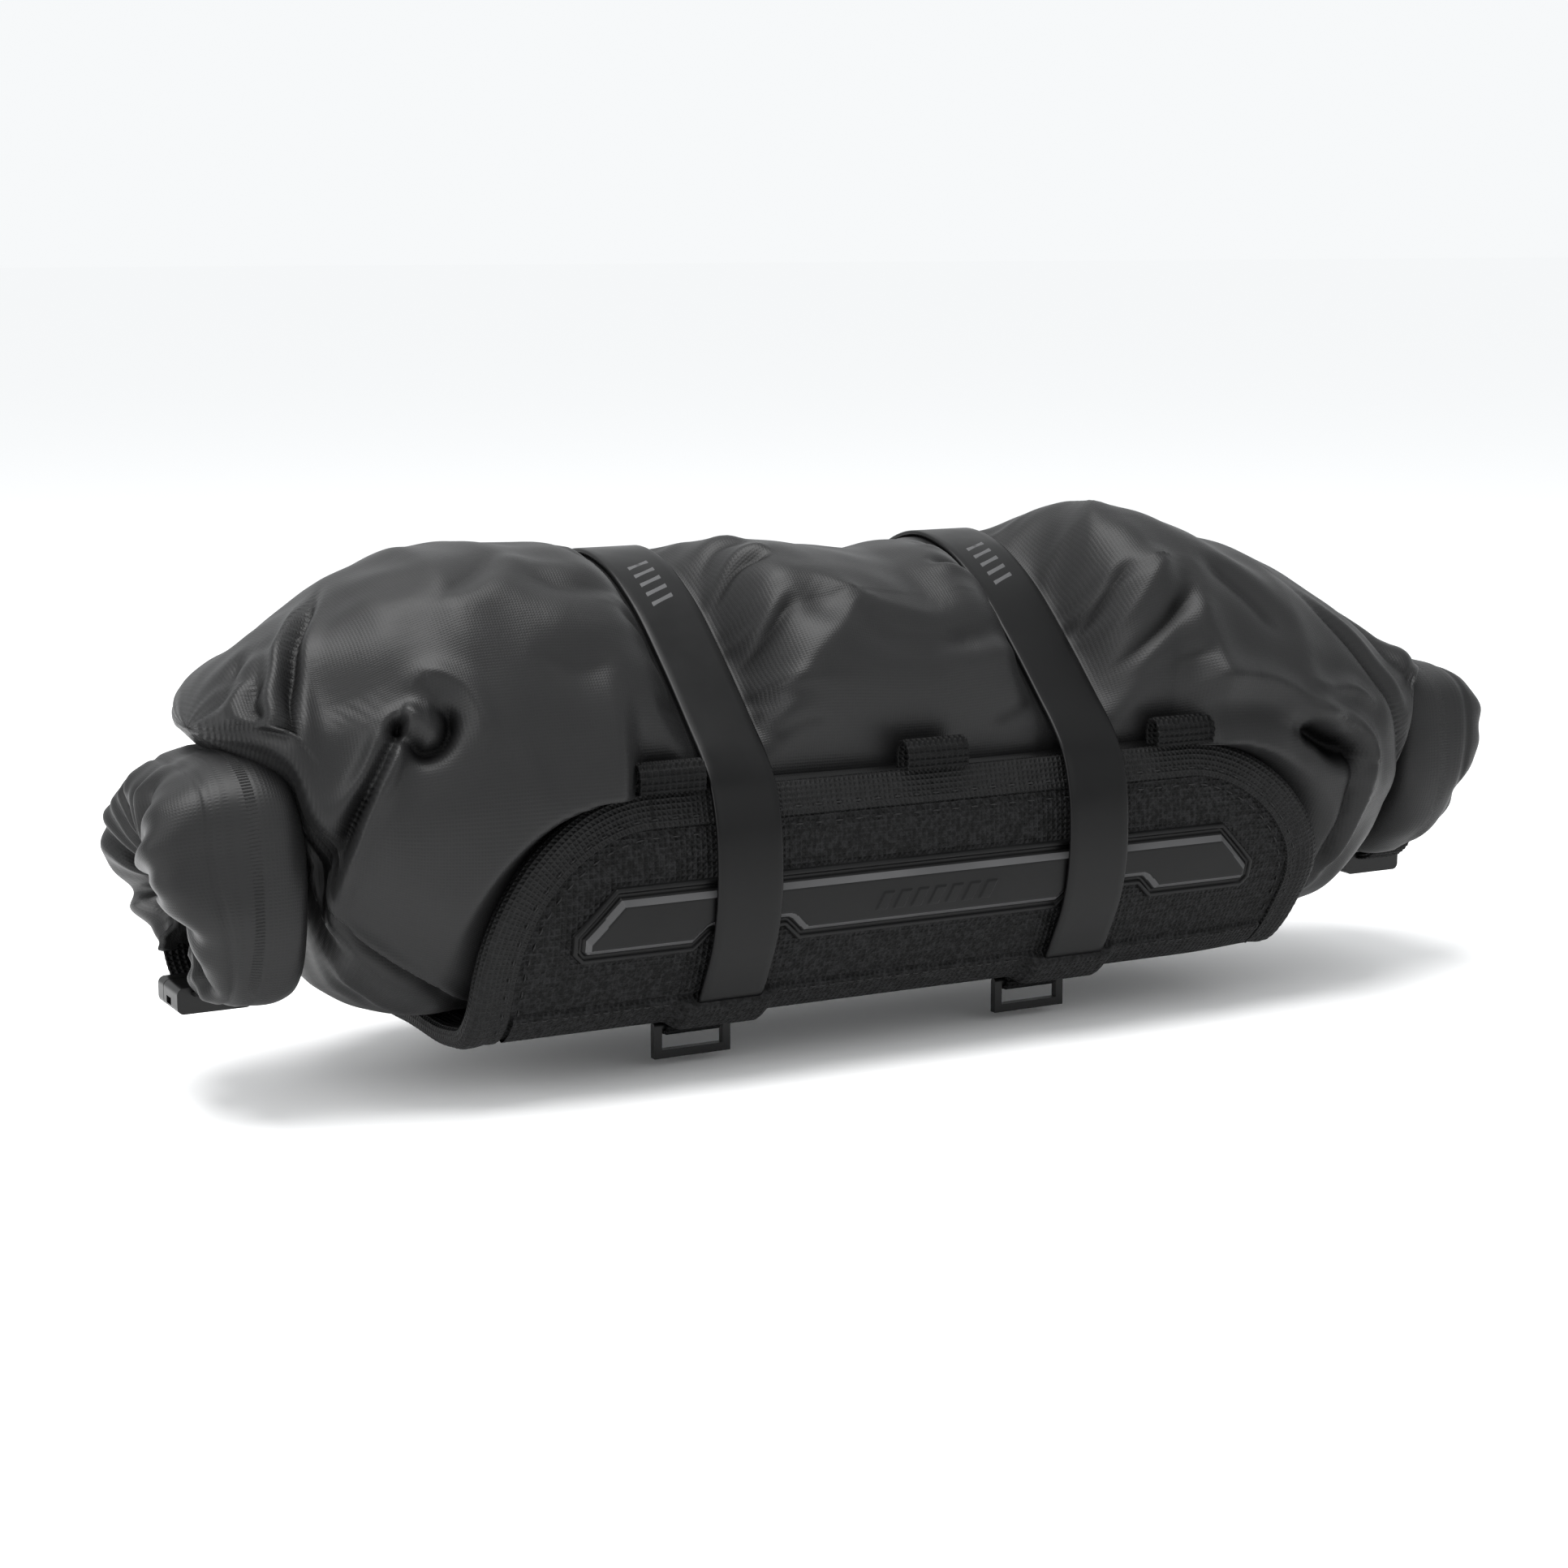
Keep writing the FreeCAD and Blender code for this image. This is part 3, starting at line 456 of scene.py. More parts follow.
FOLDS = [
    fold(-7.0, 1.9, (-196, 27), (-203, 17), (-211, 4), (-217, -18), (-219, -45), left=4.2,
         right=2.0, ends=(0.8, 0.7)),
    fold(2.4, 4.0, (-193, 31), (-201, 20), (-209, 8)),
    fold(-6.5, 2.4, (-197, 26), (-193, 21), (-189, 18), (-183, 19), (-180, 24), (-185, 31),
         ends=(0.9, 0.1)),
    fold(2.6, 3.0, (-191, 29), (-187, 24), ends=(0.8, 0.8)),
    fold(3.0, 4.2, (-194, 35), (-185, 38), (-175, 33), (-170, 24), (-171, 13), right=-1.0),
    fold(-5.0, 2.1, (-196, 100), (-212, 78), (-223, 50), (-228, 15), left=1.6, right=3.8,
         ends=(0.0, 0.8)),
    fold(-3.4, 2.0, (-229, 66), (-235, 42), (-234, 16), right=1.8),
    fold(-2.0, 3.2, (-226, 96), (-236, 74), (-243, 50), left=1.0),
    fold(1.8, 8.0, (-210, 40), (-203, 20), (-205, 2)),
    fold(1.6, 9.0, (-160, 20), (-150, 2), (-146, -14)),
    fold(3.6, 2.6, (-216, -31), (-200, -35), (-184, -42), (-164, -56), right=-4.5, ends=(0.5, 0.5)),
    fold(-1.4, 6.0, (-150, 40), (-130, 34), (-112, 36), left=0.8),
    fold(-1.6, 5.0, (-140, 64), (-120, 60), (-100, 66), left=1.0),
    fold(-1.8, 5.0, (-178, 58), (-160, 66), (-140, 84), right=1.2),
    fold(1.6, 4.0, (-214, -58), (-196, -62), (-176, -70), right=-1.0),
    fold(4.0, 7.0, (-63, 22), (-48, 30), (-30, 42), (-16, 58), left=-1.6),
    fold(-3.4, 3.0, (-63, 40), (-52, 47), (-40, 58), left=1.6),
    fold(-4.0, 2.6, (-62, 74), (-52, 79), (-38, 76), left=2.2),
    fold(-2.4, 2.6, (-62, 88), (-50, 92), (-36, 90), left=1.2),
    fold(-2.2, 2.8, (-62, 12), (-48, 17), (-34, 18), left=1.2),
    fold(-3.4, 2.8, (-88, 80), (-98, 86), (-112, 84), right=1.6),
    fold(-1.8, 3.2, (-88, 58), (-98, 54), (-110, 52), right=1.0),
    fold(-1.8, 3.0, (-88, 30), (-96, 26), (-104, 26), right=1.0),
    fold(2.0, 6.0, (-36, 66), (-18, 54), (4, 48), (24, 50), right=-1.6),
    fold(-3.6, 3.0, (53, 60), (40, 68), (20, 73), left=2.0),
    fold(-2.6, 2.8, (53, 78), (42, 86), (28, 90), left=1.4),
    fold(3.0, 5.0, (53, 42), (38, 34), (20, 31), (4, 34), right=-2.0),
    fold(-2.8, 3.2, (53, 22), (40, 16), (26, 13), left=1.4),
    fold(3.0, 6.5, (78, 54), (86, 66), (98, 80), (112, 96), left=-1.8),
    fold(-4.4, 2.8, (78, 44), (88, 50), (100, 56), left=2.0),
    fold(3.6, 4.6, (78, 34), (90, 40), (104, 48), (116, 60), right=-2.2),
    fold(-4.6, 3.2, (78, 24), (92, 28), (106, 35), (120, 46), left=1.6, right=2.4),
    fold(5.0, 5.5, (80, 8), (100, 15), (126, 19), (150, 17), (168, 10), right=-2.8,
         ends=(0.3, 0.5)),
    fold(-3.0, 2.8, (84, 20), (104, 24), (124, 27), left=1.0),
    fold(-10.0, 3.2, (156, 6), (165, 4), (174, 1), (183, -1), left=4.0, right=1.8, ends=(0.2, 0.6)),
    fold(3.4, 4.2, (154, 11), (170, 12), (184, 7), (190, -4), (189, -20)),
    fold(3.0, 4.0, (158, 20), (172, 18), (186, 18), (198, 12), left=-1.0),
    fold(-4.6, 2.2, (183, -2), (182, -14), (179, -28), (177, -44), left=3.4, ends=(0.6, 0.3)),
    fold(-3.0, 3.0, (172, 62), (188, 44), (202, 26), (211, 4), (214, -22), left=1.8,
         ends=(0.1, 0.6)),
    fold(-2.4, 3.0, (198, 84), (210, 60), (219, 34), (224, 8), left=1.2, ends=(0.1, 0.6)),
    fold(-2.2, 5.0, (128, 60), (146, 44), (158, 30), left=1.0),
]


def along_bag(table, x):
    """A smooth reading of a line given at listed places along the bag."""
    line = np.array(table, float)
    fine = np.linspace(-BAG_END, BAG_END, 1005)
    raw = np.interp(fine, line[:, 0], line[:, 1])
    kernel = bell(np.arange(-10, 11), 0, 5.0)
    padded = np.r_[np.full(10, raw[0]), raw, np.full(10, raw[-1])]
    return np.interp(x, fine, np.convolve(padded, kernel / kernel.sum(), "valid"))


def polar_radius(line, angle):
    """How far a (y, z) line lies from the bag's axis, at angles from the front upwards."""
    at = np.unwrap(np.arctan2(line[:, 1], -line[:, 0]))
    radius = np.linalg.norm(line, axis=1)
    order = np.argsort(at)
    shifted = np.mod(angle - at.min(), math.tau) + at.min()
    return np.interp(shifted, at[order], radius[order], left=np.inf, right=np.inf)


def bag_surface():
    """The stuffed bag before its folds, from its four outlines; rows start underneath."""
    theta = np.linspace(-math.pi / 2, math.pi / 2, BAG_COLS)[None, :]
    phi = np.linspace(0, math.tau, BAG_ROWS, endpoint=False)[:, None] - math.pi / 2
    x = BAG_END * np.sin(theta)
    cap = np.sqrt(1 - (np.abs(x) / (BAG_END + 0.001)) ** 24)
    x = np.where(x < -200, -200 + (x + 200) * 0.92, x)
    top, bottom = along_bag(TOP_LINE, x), along_bag(BOTTOM_LINE, x)
    front, back = along_bag(FRONT_LINE, x), along_bag(BACK_LINE, x)
    centre = np.where(np.abs(x) > 150, (top - bottom) / 2, 0) * smooth_step(185, 235, np.abs(x))
    tall_up, tall_down = top - centre, bottom + centre
    power = 2.0 / (2.25 - 0.25 * smooth_step(180, 240, np.abs(x)))
    c, s = np.cos(phi), np.sin(phi)
    tall = tall_down + (tall_up - tall_down) * (0.5 + 0.5 * np.tanh(s * 6))
    deep = back + (front - back) * (0.5 + 0.5 * np.tanh(c * 6))
    y = -deep * cap * np.sign(c) * np.abs(c) ** power
    z = centre + tall * cap * np.sign(s) * np.abs(s) ** power
    return x + 0 * y, y, z


# How far above each panel's edge the bag swells back out, in radians round its axis.
FRONT_SWELL, BACK_SWELL = 0.9, 0.6


def press(x, y, z):
    """Presses the bag in under the straps and inside the cradle."""
    angle = np.mod(np.arctan2(z, -y) + math.pi / 2, math.tau) - math.pi / 2
    radius = np.hypot(y, z)
    wall = polar_radius(spline(STRAP, 200), angle) - 0.5
    for strap_x in STRAP_X.values():
        near = np.clip(np.abs(x - strap_x) - WEB / 2, 0, None)
        hold = np.exp(-((near / 12.5) ** 1.6))
        over = np.clip(radius - wall, 0, None)
        radius = radius - over * hold
        under = np.clip(wall - radius, 0, 14) * np.isfinite(wall)
        radius = radius + under * hold
    cradle = spline(CRADLE, 200)
    shell = polar_radius(cradle, angle) - SHEET - 0.6
    edge = math.atan2(PANEL_TOP, -CRADLE[0][0])
    share = np.clip((angle - edge) / FRONT_SWELL, 0, 1)
    swell = math.hypot(*CRADLE[0]) - SHEET - 1.5 + 40 * share**1.25
    shell = np.where((angle > edge) & (angle < edge + FRONT_SWELL), swell, shell)
    front = cradle[:60]
    order = np.argsort(front[:, 1])
    reach = np.interp(z, front[order, 1], half_width(front)[order])
    behind = math.atan2(BACK_TOP, -CRADLE[-1][0])
    share = np.clip((behind - angle) / BACK_SWELL, 0, 1)
    swell = math.hypot(*CRADLE[-1]) - SHEET - 1.5 + 30 * share**1.25
    shell = np.where((angle < behind) & (angle > behind - BACK_SWELL), swell, shell)
    reach = np.where(y < 0, reach, back_half_width(z))
    inside = 1 - smooth_step(reach - 2, reach + 15, np.abs(x))
    past = np.where(np.isfinite(shell), radius - shell, -50.0)
    over = 0.5 * (past + np.sqrt(past**2 + 25.0)) - 0.5 * (np.sqrt(25.0 + 900.0) - 30.0)
    radius = radius - np.clip(over, 0, None) * inside
    old = np.hypot(y, z)
    scale = np.where(old > 1, radius / np.maximum(old, 1), 1)
    return x, y * scale, z * scale


def fold_height(x, arc, crease):
    """The height that one fold adds."""
    line = spline([(px, ARC * deg) for px, deg in crease["line"]], 40)
    along = np.gradient(line, axis=0)
    along /= np.linalg.norm(along, axis=1)[:, None]
    share = np.linspace(0, 1, len(line))
    reach = 6 * crease["width"]
    near = (
        (x > line[:, 0].min() - reach) & (x < line[:, 0].max() + reach)
        & (arc > line[:, 1].min() - reach) & (arc < line[:, 1].max() + reach)
    )
    height = np.zeros_like(x)
    dx = x[near][:, None] - line[None, :, 0]
    da = arc[near][:, None] - line[None, :, 1]
    nearest = np.argmin(dx**2 + da**2, axis=1)
    pick = np.arange(len(nearest))
    gap = np.hypot(dx[pick, nearest], da[pick, nearest])
    soft_gap = np.hypot(gap, 0.9) - 0.5
    side = np.sign(along[nearest, 0] * da[pick, nearest] - along[nearest, 1] * dx[pick, nearest])
    t = share[nearest]
    first, last = crease["ends"]
    taper = (first + (1 - first) * smooth_step(0, 0.3, t)) * (
        last + (1 - last) * smooth_step(0, 0.3, 1 - t)
    )
    signed, width = gap * side, crease["width"]
    shape = crease["depth"] * np.exp(-((soft_gap / width) ** 1.4))
    shape += crease["left"] * bell(signed, 2.0 * width, 1.5 * width)
    shape += crease["right"] * bell(signed, -2.0 * width, 1.5 * width)
    height[near] = shape * taper
    return height


def puckers(x, arc):
    """Short wrinkles that run out from the straps' edges."""
    height = np.zeros_like(x)
    for i, strap_x in enumerate(STRAP_X.values()):
        for way in (-1, 1):
            out = (x - strap_x) * way - WEB / 2
            rng = np.random.default_rng(31 + 7 * i + way)
            for place in np.arange(8, 190, 15.0):
                spot = place + rng.uniform(-7, 7)
                size, reach = rng.uniform(0.2, 1.9) * rng.uniform(0.4, 1), rng.uniform(10, 36)
                lean, wide = rng.uniform(-0.5, 0.5), rng.uniform(3.0, 7.0)
                ridge = bell(arc - lean * out, spot, wide)
                height += np.where(
                    out > 0, size * ridge * np.exp(-((out / reach) ** 2)) * smooth_step(0, 5, out), 0
                )
    return height


def displaced(x, y, z, height):
    """The surface moved out along its normals by a height."""
    points = np.stack([x, y, z], axis=-1)
    along = np.gradient(points, axis=1)
    around = (np.roll(points, -1, axis=0) - np.roll(points, 1, axis=0)) / 2
    normal = np.cross(along, around)
    normal /= np.maximum(np.linalg.norm(normal, axis=-1, keepdims=True), 1e-9)
    outward = np.sign((normal[..., 1:] * points[..., 1:]).sum(axis=-1).mean())
    return np.moveaxis(points + normal * outward * height[..., None], -1, 0)


def shade_creases(obj, depth):
    """Stores how deep each place lies in a crease, which the cloth's material darkens its colour and
    shine by as painted shade.
    """
    shade = np.clip((depth - 0.8) / 5.0, 0, 1).ravel()
    layer = obj.data.color_attributes.new("crease", "FLOAT_COLOR", "POINT")
    layer.data.foreach_set("color", np.column_stack([shade, shade, shade, shade * 0 + 1]).ravel())


def cloth_run(points, hold):
    """A short run of Blender's cloth under slight pressure, held where the mask is 1.

    Works on every fourth vertex. Gives each vertex's move on the full grid, capped and smoothed.
    """
    coarse, mask = points[::RUN_STEP, ::RUN_STEP], hold[::RUN_STEP, ::RUN_STEP].ravel()
    rows, cols = coarse.shape[:2]
    obj = make_object(
        "cloth_run", coarse, grid_faces(rows, cols, wrap_rows=True, flip=True)
    )
    group = obj.vertex_groups.new(name="hold")
    for share in HOLD_SHARES:
        picked = np.flatnonzero(np.round(mask * 4) / 4 == share)
        group.add(picked.tolist(), share, "REPLACE")
    cloth = obj.modifiers.new("run", "CLOTH")
    settings = cloth.settings
    settings.quality = 6
    settings.mass = 0.02
    settings.tension_stiffness = settings.compression_stiffness = 12.0
    settings.shear_stiffness = 4.0
    settings.bending_stiffness = 0.02
    settings.shrink_min = settings.shrink_max = -RUN_SLACK  # below zero lets the cloth grow
    settings.use_pressure = True
    settings.uniform_pressure_force = RUN_PRESSURE
    settings.vertex_group_mass = "hold"
    settings.effector_weights.gravity = 0.0
    cloth.point_cache.frame_end = RUN_FRAMES
    scene = bpy.context.scene
    for number in range(1, RUN_FRAMES + 1):
        scene.frame_set(number)
    graph = bpy.context.evaluated_depsgraph_get()
    mesh = obj.evaluated_get(graph).to_mesh()
    after = np.empty(len(mesh.vertices) * 3)
    mesh.vertices.foreach_get("co", after)
    moved = after.reshape(rows, cols, 3) / MM - TO_ROW - coarse
    spare = obj.data
    bpy.data.objects.remove(obj)
    bpy.data.meshes.remove(spare)
    scene.frame_set(1)
    size = np.linalg.norm(moved, axis=-1, keepdims=True)
    moved = moved * np.tanh(size / RUN_CAP) * RUN_CAP / np.maximum(size, 1e-6)
    for _ in range(3):
        moved = (np.roll(moved, 1, axis=0) + 2 * moved + np.roll(moved, -1, axis=0)) / 4
        moved[:, 1:-1] = (moved[:, :-2] + 2 * moved[:, 1:-1] + moved[:, 2:]) / 4
    row_at = np.arange(points.shape[0]) / RUN_STEP
    col_at = np.clip(np.arange(points.shape[1]) / RUN_STEP, 0, cols - 1)
    down, across = row_at.astype(int) % rows, np.minimum(col_at.astype(int), cols - 2)
    row_share, col_share = (row_at % 1)[:, None, None], (col_at - across)[None, :, None]
    wide = moved[:, across] * (1 - col_share) + moved[:, across + 1] * col_share
    return wide[down] * (1 - row_share) + wide[(down + 1) % rows] * row_share


def held_places(x, z):
    """Where the cloth can't move: under the straps, inside the cradle, and by the rolls."""
    hold = smooth_step(225, 238, np.abs(x))
    for strap_x in STRAP_X.values():
        hold = np.maximum(hold, 1 - smooth_step(13, 20, np.abs(x - strap_x)))
    tucked = (1 - smooth_step(-2, 12, z)) * (1 - smooth_step(168, 182, np.abs(x)))
    return np.maximum(hold, tucked)


def build_bag():
    """The bag with its folds, pressed into the cradle and straps, then loosened by the cloth."""
    x, y, z = bag_surface()
    degrees = np.linspace(-90, 270, BAG_ROWS, endpoint=False)[:, None] + 0 * x
    arc = ARC * np.where(degrees > 225, degrees - 360, degrees)
    turn = np.radians(degrees)
    height = 0.3 * waves(x, 75 * np.cos(turn), 9, 14, 18, 45)
    height += 0.7 * waves(x, 75 * np.sin(turn), 5, 12, 60, 130)
    height += 0.4 * waves(x, 75 * np.sin(turn), 12, 14, 20, 45)
    height *= 1 - 0.8 * smooth_step(235, 250, np.abs(x))
    folds = sum(fold_height(x, arc, crease) for crease in FOLDS)
    height = height + folds
    x, y, z = press(*displaced(x, y, z, height))
    x, y, z = displaced(x, y, z, puckers(x, arc))
    moved = cloth_run(np.stack([x, y, z], axis=-1), held_places(x, z))
    x, y, z = (place + moved[..., k] for k, place in enumerate((x, y, z)))
    round_mm = np.linspace(0, 470, BAG_ROWS)[:, None] + 0 * x
    obj = make_object(
        "dry_bag_cloth", np.stack([x, y, z], axis=-1),
        grid_faces(BAG_ROWS, BAG_COLS, wrap_rows=True, flip=True),
        np.stack([x, round_mm], axis=-1), slot="bag_fabric", mat=BAG,
    )
    # Painted shade: crease depths for the cloth's material to darken by.
    shade_creases(obj, -folds)
    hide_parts("dry_bag_body")


# ---------------------------------------------------------------- the rolled mouths

ROLL_X, ROLL_CENTRE = 243.0, -22.0
ROLL_LIFT = {"left": 0.0, "right": 6.0}
# The roll's outline about its centre: (degrees up from the front, radius in mm).
LEFT_ROLL = [
    (-70, 40), (-58, 44), (-45, 50), (-30, 53), (-15, 53), (0, 53), (20, 55), (40, 59), (55, 57),
    (75, 52), (90, 49), (110, 50), (130, 52), (150, 56), (165, 61), (176, 63), (190, 57),
    (210, 50), (230, 45),
]
RIGHT_ROLL = [
    (-70, 41), (-55, 44), (-40, 47), (-20, 50), (0, 53), (20, 54), (36, 57), (50, 54), (70, 47),
    (90, 44), (110, 46), (130, 52), (150, 55), (165, 57), (176, 57), (190, 52), (210, 47),
    (230, 44),
]


def roll_cloth(side, sign, outline):
    """A rolled mouth bent round to its clip: a scrunched ring with wrinkles on its open face."""
    arc_count, round_count = 260, 180
    table = np.array(outline, float)
    deg = np.linspace(table[0, 0], table[-1, 0], arc_count)
    line = spline(outline, arc_count * 2)
    outer = np.interp(deg, line[:, 0], line[:, 1])[:, None]
    a = np.radians(deg)[:, None]
    phi = np.linspace(0, math.tau, round_count, endpoint=False)[None, :]
    hole = 9.0 + 2.5 * np.sin(3 * a + 0.6) + 1.5 * np.sin(7 * a)
    middle, half = (outer + hole) / 2, (outer - hole) / 2
    c, s = np.cos(phi), np.sin(phi)
    radial = np.sign(c) * np.abs(c) ** 0.55
    width = np.sign(s) * np.abs(s) ** 0.55
    low = smooth_step(22, -46, np.sin(a) * outer)
    corner = bell(deg, 24, 26)[:, None]
    open_half = 25.0 + 9.0 * corner if side == "left" else 19.5 + 6.5 * corner
    half_x = np.where(width > 0, open_half - 14.0 * low, 21.5)
    taper = 3.0 + 8.0 * smooth_step(30, 70, deg)[:, None]
    rho = middle + half * radial - taper * np.clip(radial, 0, 1) * (0.5 + 0.5 * width) ** 1.5
    open_face = np.clip(width, 0, 1)
    inward = np.clip(1 - (rho - hole) / (outer - hole), 0, 1)
    turns = (
        0.9 * np.sin(9 * a + 2.0 * np.sin(2 * a)) + 0.8 * np.sin(14 * a + 1.7)
        + 0.6 * np.sin(23 * a + 0.5 * rho / 8)
    )
    x_out = half_x * width + open_face * (turns * (0.6 + 2.4 * inward) - 11.0 * inward**1.6)
    spiral = np.sin((rho - 6.0 * a) / 4.6 * math.pi)
    layered = smooth_step(0.75, 1.0, np.abs(2 * (deg - deg[0]) / (deg[-1] - deg[0]) - 1))[:, None]
    x_out += 0.9 * spiral * layered * open_face
    rho = rho + 0.8 * waves(a * 50, phi * 22, 3 if side == "left" else 4, 14, 16, 60)
    rho = rho - 0.8 * bell(x_out, 12.0 - 9.0 * low, 1.5) * np.clip(c, 0, 1)
    x = sign * (ROLL_X + x_out) + 0 * a
    y = -np.cos(a) * rho
    z = ROLL_CENTRE + ROLL_LIFT[side] + np.sin(a) * rho
    verts = np.stack([x, y, z], axis=-1)
    faces = grid_faces(arc_count, round_count, wrap_cols=True).tolist()
    verts = verts.reshape(-1, 3).tolist()
    for end in (0, arc_count - 1):
        ring = list(range(end * round_count, (end + 1) * round_count))
        centre = np.mean([verts[i] for i in ring], axis=0)
        inner = ring
        way = 1 if end == 0 else -1
        tangent = np.array([0, math.sin(math.radians(deg[end])), math.cos(math.radians(deg[end]))])
        for step, share in enumerate((0.86, 0.72, 0.56, 0.4, 0.24, 0.1)):
            start = len(verts)
            dip = (-1.6 if step % 2 else 0.6) * way
            for i in ring:
                point = centre + (np.array(verts[i]) - centre) * share - tangent * dip
                verts.append(point.tolist())
            now = list(range(start, start + round_count))
            for k in range(round_count):
                j = (k + 1) % round_count
                faces.append([inner[k], inner[j], now[j], now[k]])
            inner = now
        faces.append(inner)
    uv = np.zeros((len(verts), 2))
    uv[: arc_count * round_count] = np.stack(
        [0 * a + phi * 20, a * 45 + 0 * phi], axis=-1
    ).reshape(-1, 2)
    uv[arc_count * round_count:] = np.array(verts)[arc_count * round_count:, :2]
    obj = make_object(f"{side}_roll_cloth", verts, faces, uv, slot="bag_fabric", mat=BAG)
    fix_normals(obj)
    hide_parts(f"{side}_roll")


# ---------------------------------------------------------------- straps

def straps():
    """The two smooth cinch straps, with their dashes."""
    line = spline(STRAP, 260)
    for side, x in STRAP_X.items():
        pts, _ = profile_at(line, x)
        normal = outward(line, 60)
        obj = swept(
            f"cinch_band_{side}", pts + normal * STRAP_THICK / 2, normal, (1, 0, 0), WEB / 2,
            STRAP_THICK, slot="smooth_strap", mat=STRAP_MAT,
        )
        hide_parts(f"cinch_strap_{side}")
        strap_marks(side, x, line)


def strap_marks(side, x, line):
    """Plain slanted dashes printed on top of a strap."""
    run = run_length(line)
    normal = outward(line, 60)
    verts, faces = [], []
    first = place_of(line, run, -6, 62)
    spacing, length = 5.5, 2.4
    for k in range(5):
        start = len(verts)
        for i in range(6):
            middle = first + spacing * k + length * i / 5
            for across in (-5.0, -4.6, 4.6, 5.0):
                at = middle + 0.5 * across
                y, z = (np.interp(at, run, line[:, c]) for c in (0, 1))
                ny, nz = (np.interp(at, run, normal[:, c]) for c in (1, 2))
                rise = 2.05 if 0 < i < 5 and abs(across) < 5 else 1.98
                verts.append((x + across, y + ny * rise, z + nz * rise))
        faces.extend(grid_faces(6, 4, start=start).tolist())
    obj = make_object(f"strap_dashes_{side}", verts, faces, slot="smooth_strap", mat=PRINT_MAT)
    fix_normals(obj)


# ---------------------------------------------------------------- harness

def cradle_line():
    """The profile, closer set near the front's rounded corners."""
    even = spline(CRADLE, 700)
    run = run_length(even)
    share = np.linspace(0, 1, 150)
    place = run[-1] * (share**1.8 * (1 - share) + share * share)
    return np.stack([np.interp(place, run, even[:, k]) for k in (0, 1)], axis=1)


def harness():
    line = cradle_line()
    wide = half_width(line)
    normal = outward(line)
    cols = 150
    t = np.linspace(-1, 1, cols)
    x = wide[:, None] * t[None, :]
    layers = []
    for depth in (0.0, -SHEET):
        y = line[:, 0][:, None] + normal[:, 1][:, None] * depth + 0 * x
        z = line[:, 1][:, None] + normal[:, 2][:, None] * depth + 0 * x
        layers.append(pull_in(np.stack([x, y, z], axis=-1)))
    run = run_length(line)[:, None] + 0 * x
    for name, layer, mat, slot, nodes in (
        ("harness_face", layers[0], HARNESS, "harness_fabric",
         ("harness_outer_skin", "harness_stiffener_board")),
        ("harness_lining", layers[1], LINER, "liner_fabric", ("harness_liner",)),
    ):
        obj = make_object(
            name, layer, grid_faces(*x.shape), np.stack([x, run], axis=-1), slot=slot, mat=mat,
        )
        fix_normals(obj)
        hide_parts(*nodes)
    return line, wide


def border(line, wide):
    """The cradle's edge as a closed flat path, with its inward and forward directions."""
    run = run_length(line)
    top = np.linspace(-wide[0], wide[0], 90)
    foot = np.linspace(wide[-1], -wide[-1], 90)
    flat = np.concatenate([
        np.column_stack([top, np.full(90, run[0])]),
        np.column_stack([wide, run])[1:-1],
        np.column_stack([foot, np.full(90, run[-1])]),
        np.column_stack([-wide, run])[::-1][1:-1],
    ])
    steps = np.linalg.norm(np.diff(np.vstack([flat, flat[:1]]), axis=0), axis=1)
    along = np.r_[0, np.cumsum(steps)]
    even = np.linspace(0, along[-1], 760, endpoint=False)
    closed = np.vstack([flat, flat[:1]])
    flat = np.stack([np.interp(even, along, closed[:, k]) for k in (0, 1)], axis=1)
    ahead = np.roll(flat, -3, axis=0) - np.roll(flat, 3, axis=0)
    ahead /= np.linalg.norm(ahead, axis=1)[:, None]
    inward = np.column_stack([-ahead[:, 1], ahead[:, 0]])
    return flat, inward, ahead, even


def pull_in(points):
    """The cradle's lower right corner, drawn in a little under the bag."""
    x, z = points[..., 0], points[..., 2]
    share = smooth_step(120, 172, x) * smooth_step(-30, -76, z)
    points[..., 0] = x - 8.0 * share
    points[..., 2] = z + 1.5 * share
    return points


def lay_on(line, run, normal, flat, height):
    """Flat places on the cradle (x, distance round its profile), raised by a height."""
    place = np.clip(flat[..., 1], 0, run[-1])
    beyond = flat[..., 1] - place
    yz = [np.interp(place, run, line[:, k]) for k in (0, 1)]
    n = [np.interp(place, run, normal[:, k]) for k in (1, 2)]
    y = yz[0] + n[0] * height + beyond * n[1]
    z = yz[1] + n[1] * height - beyond * n[0]
    return pull_in(np.stack([flat[..., 0] + 0 * y, y, z], axis=-1))


TAPE = 12.5


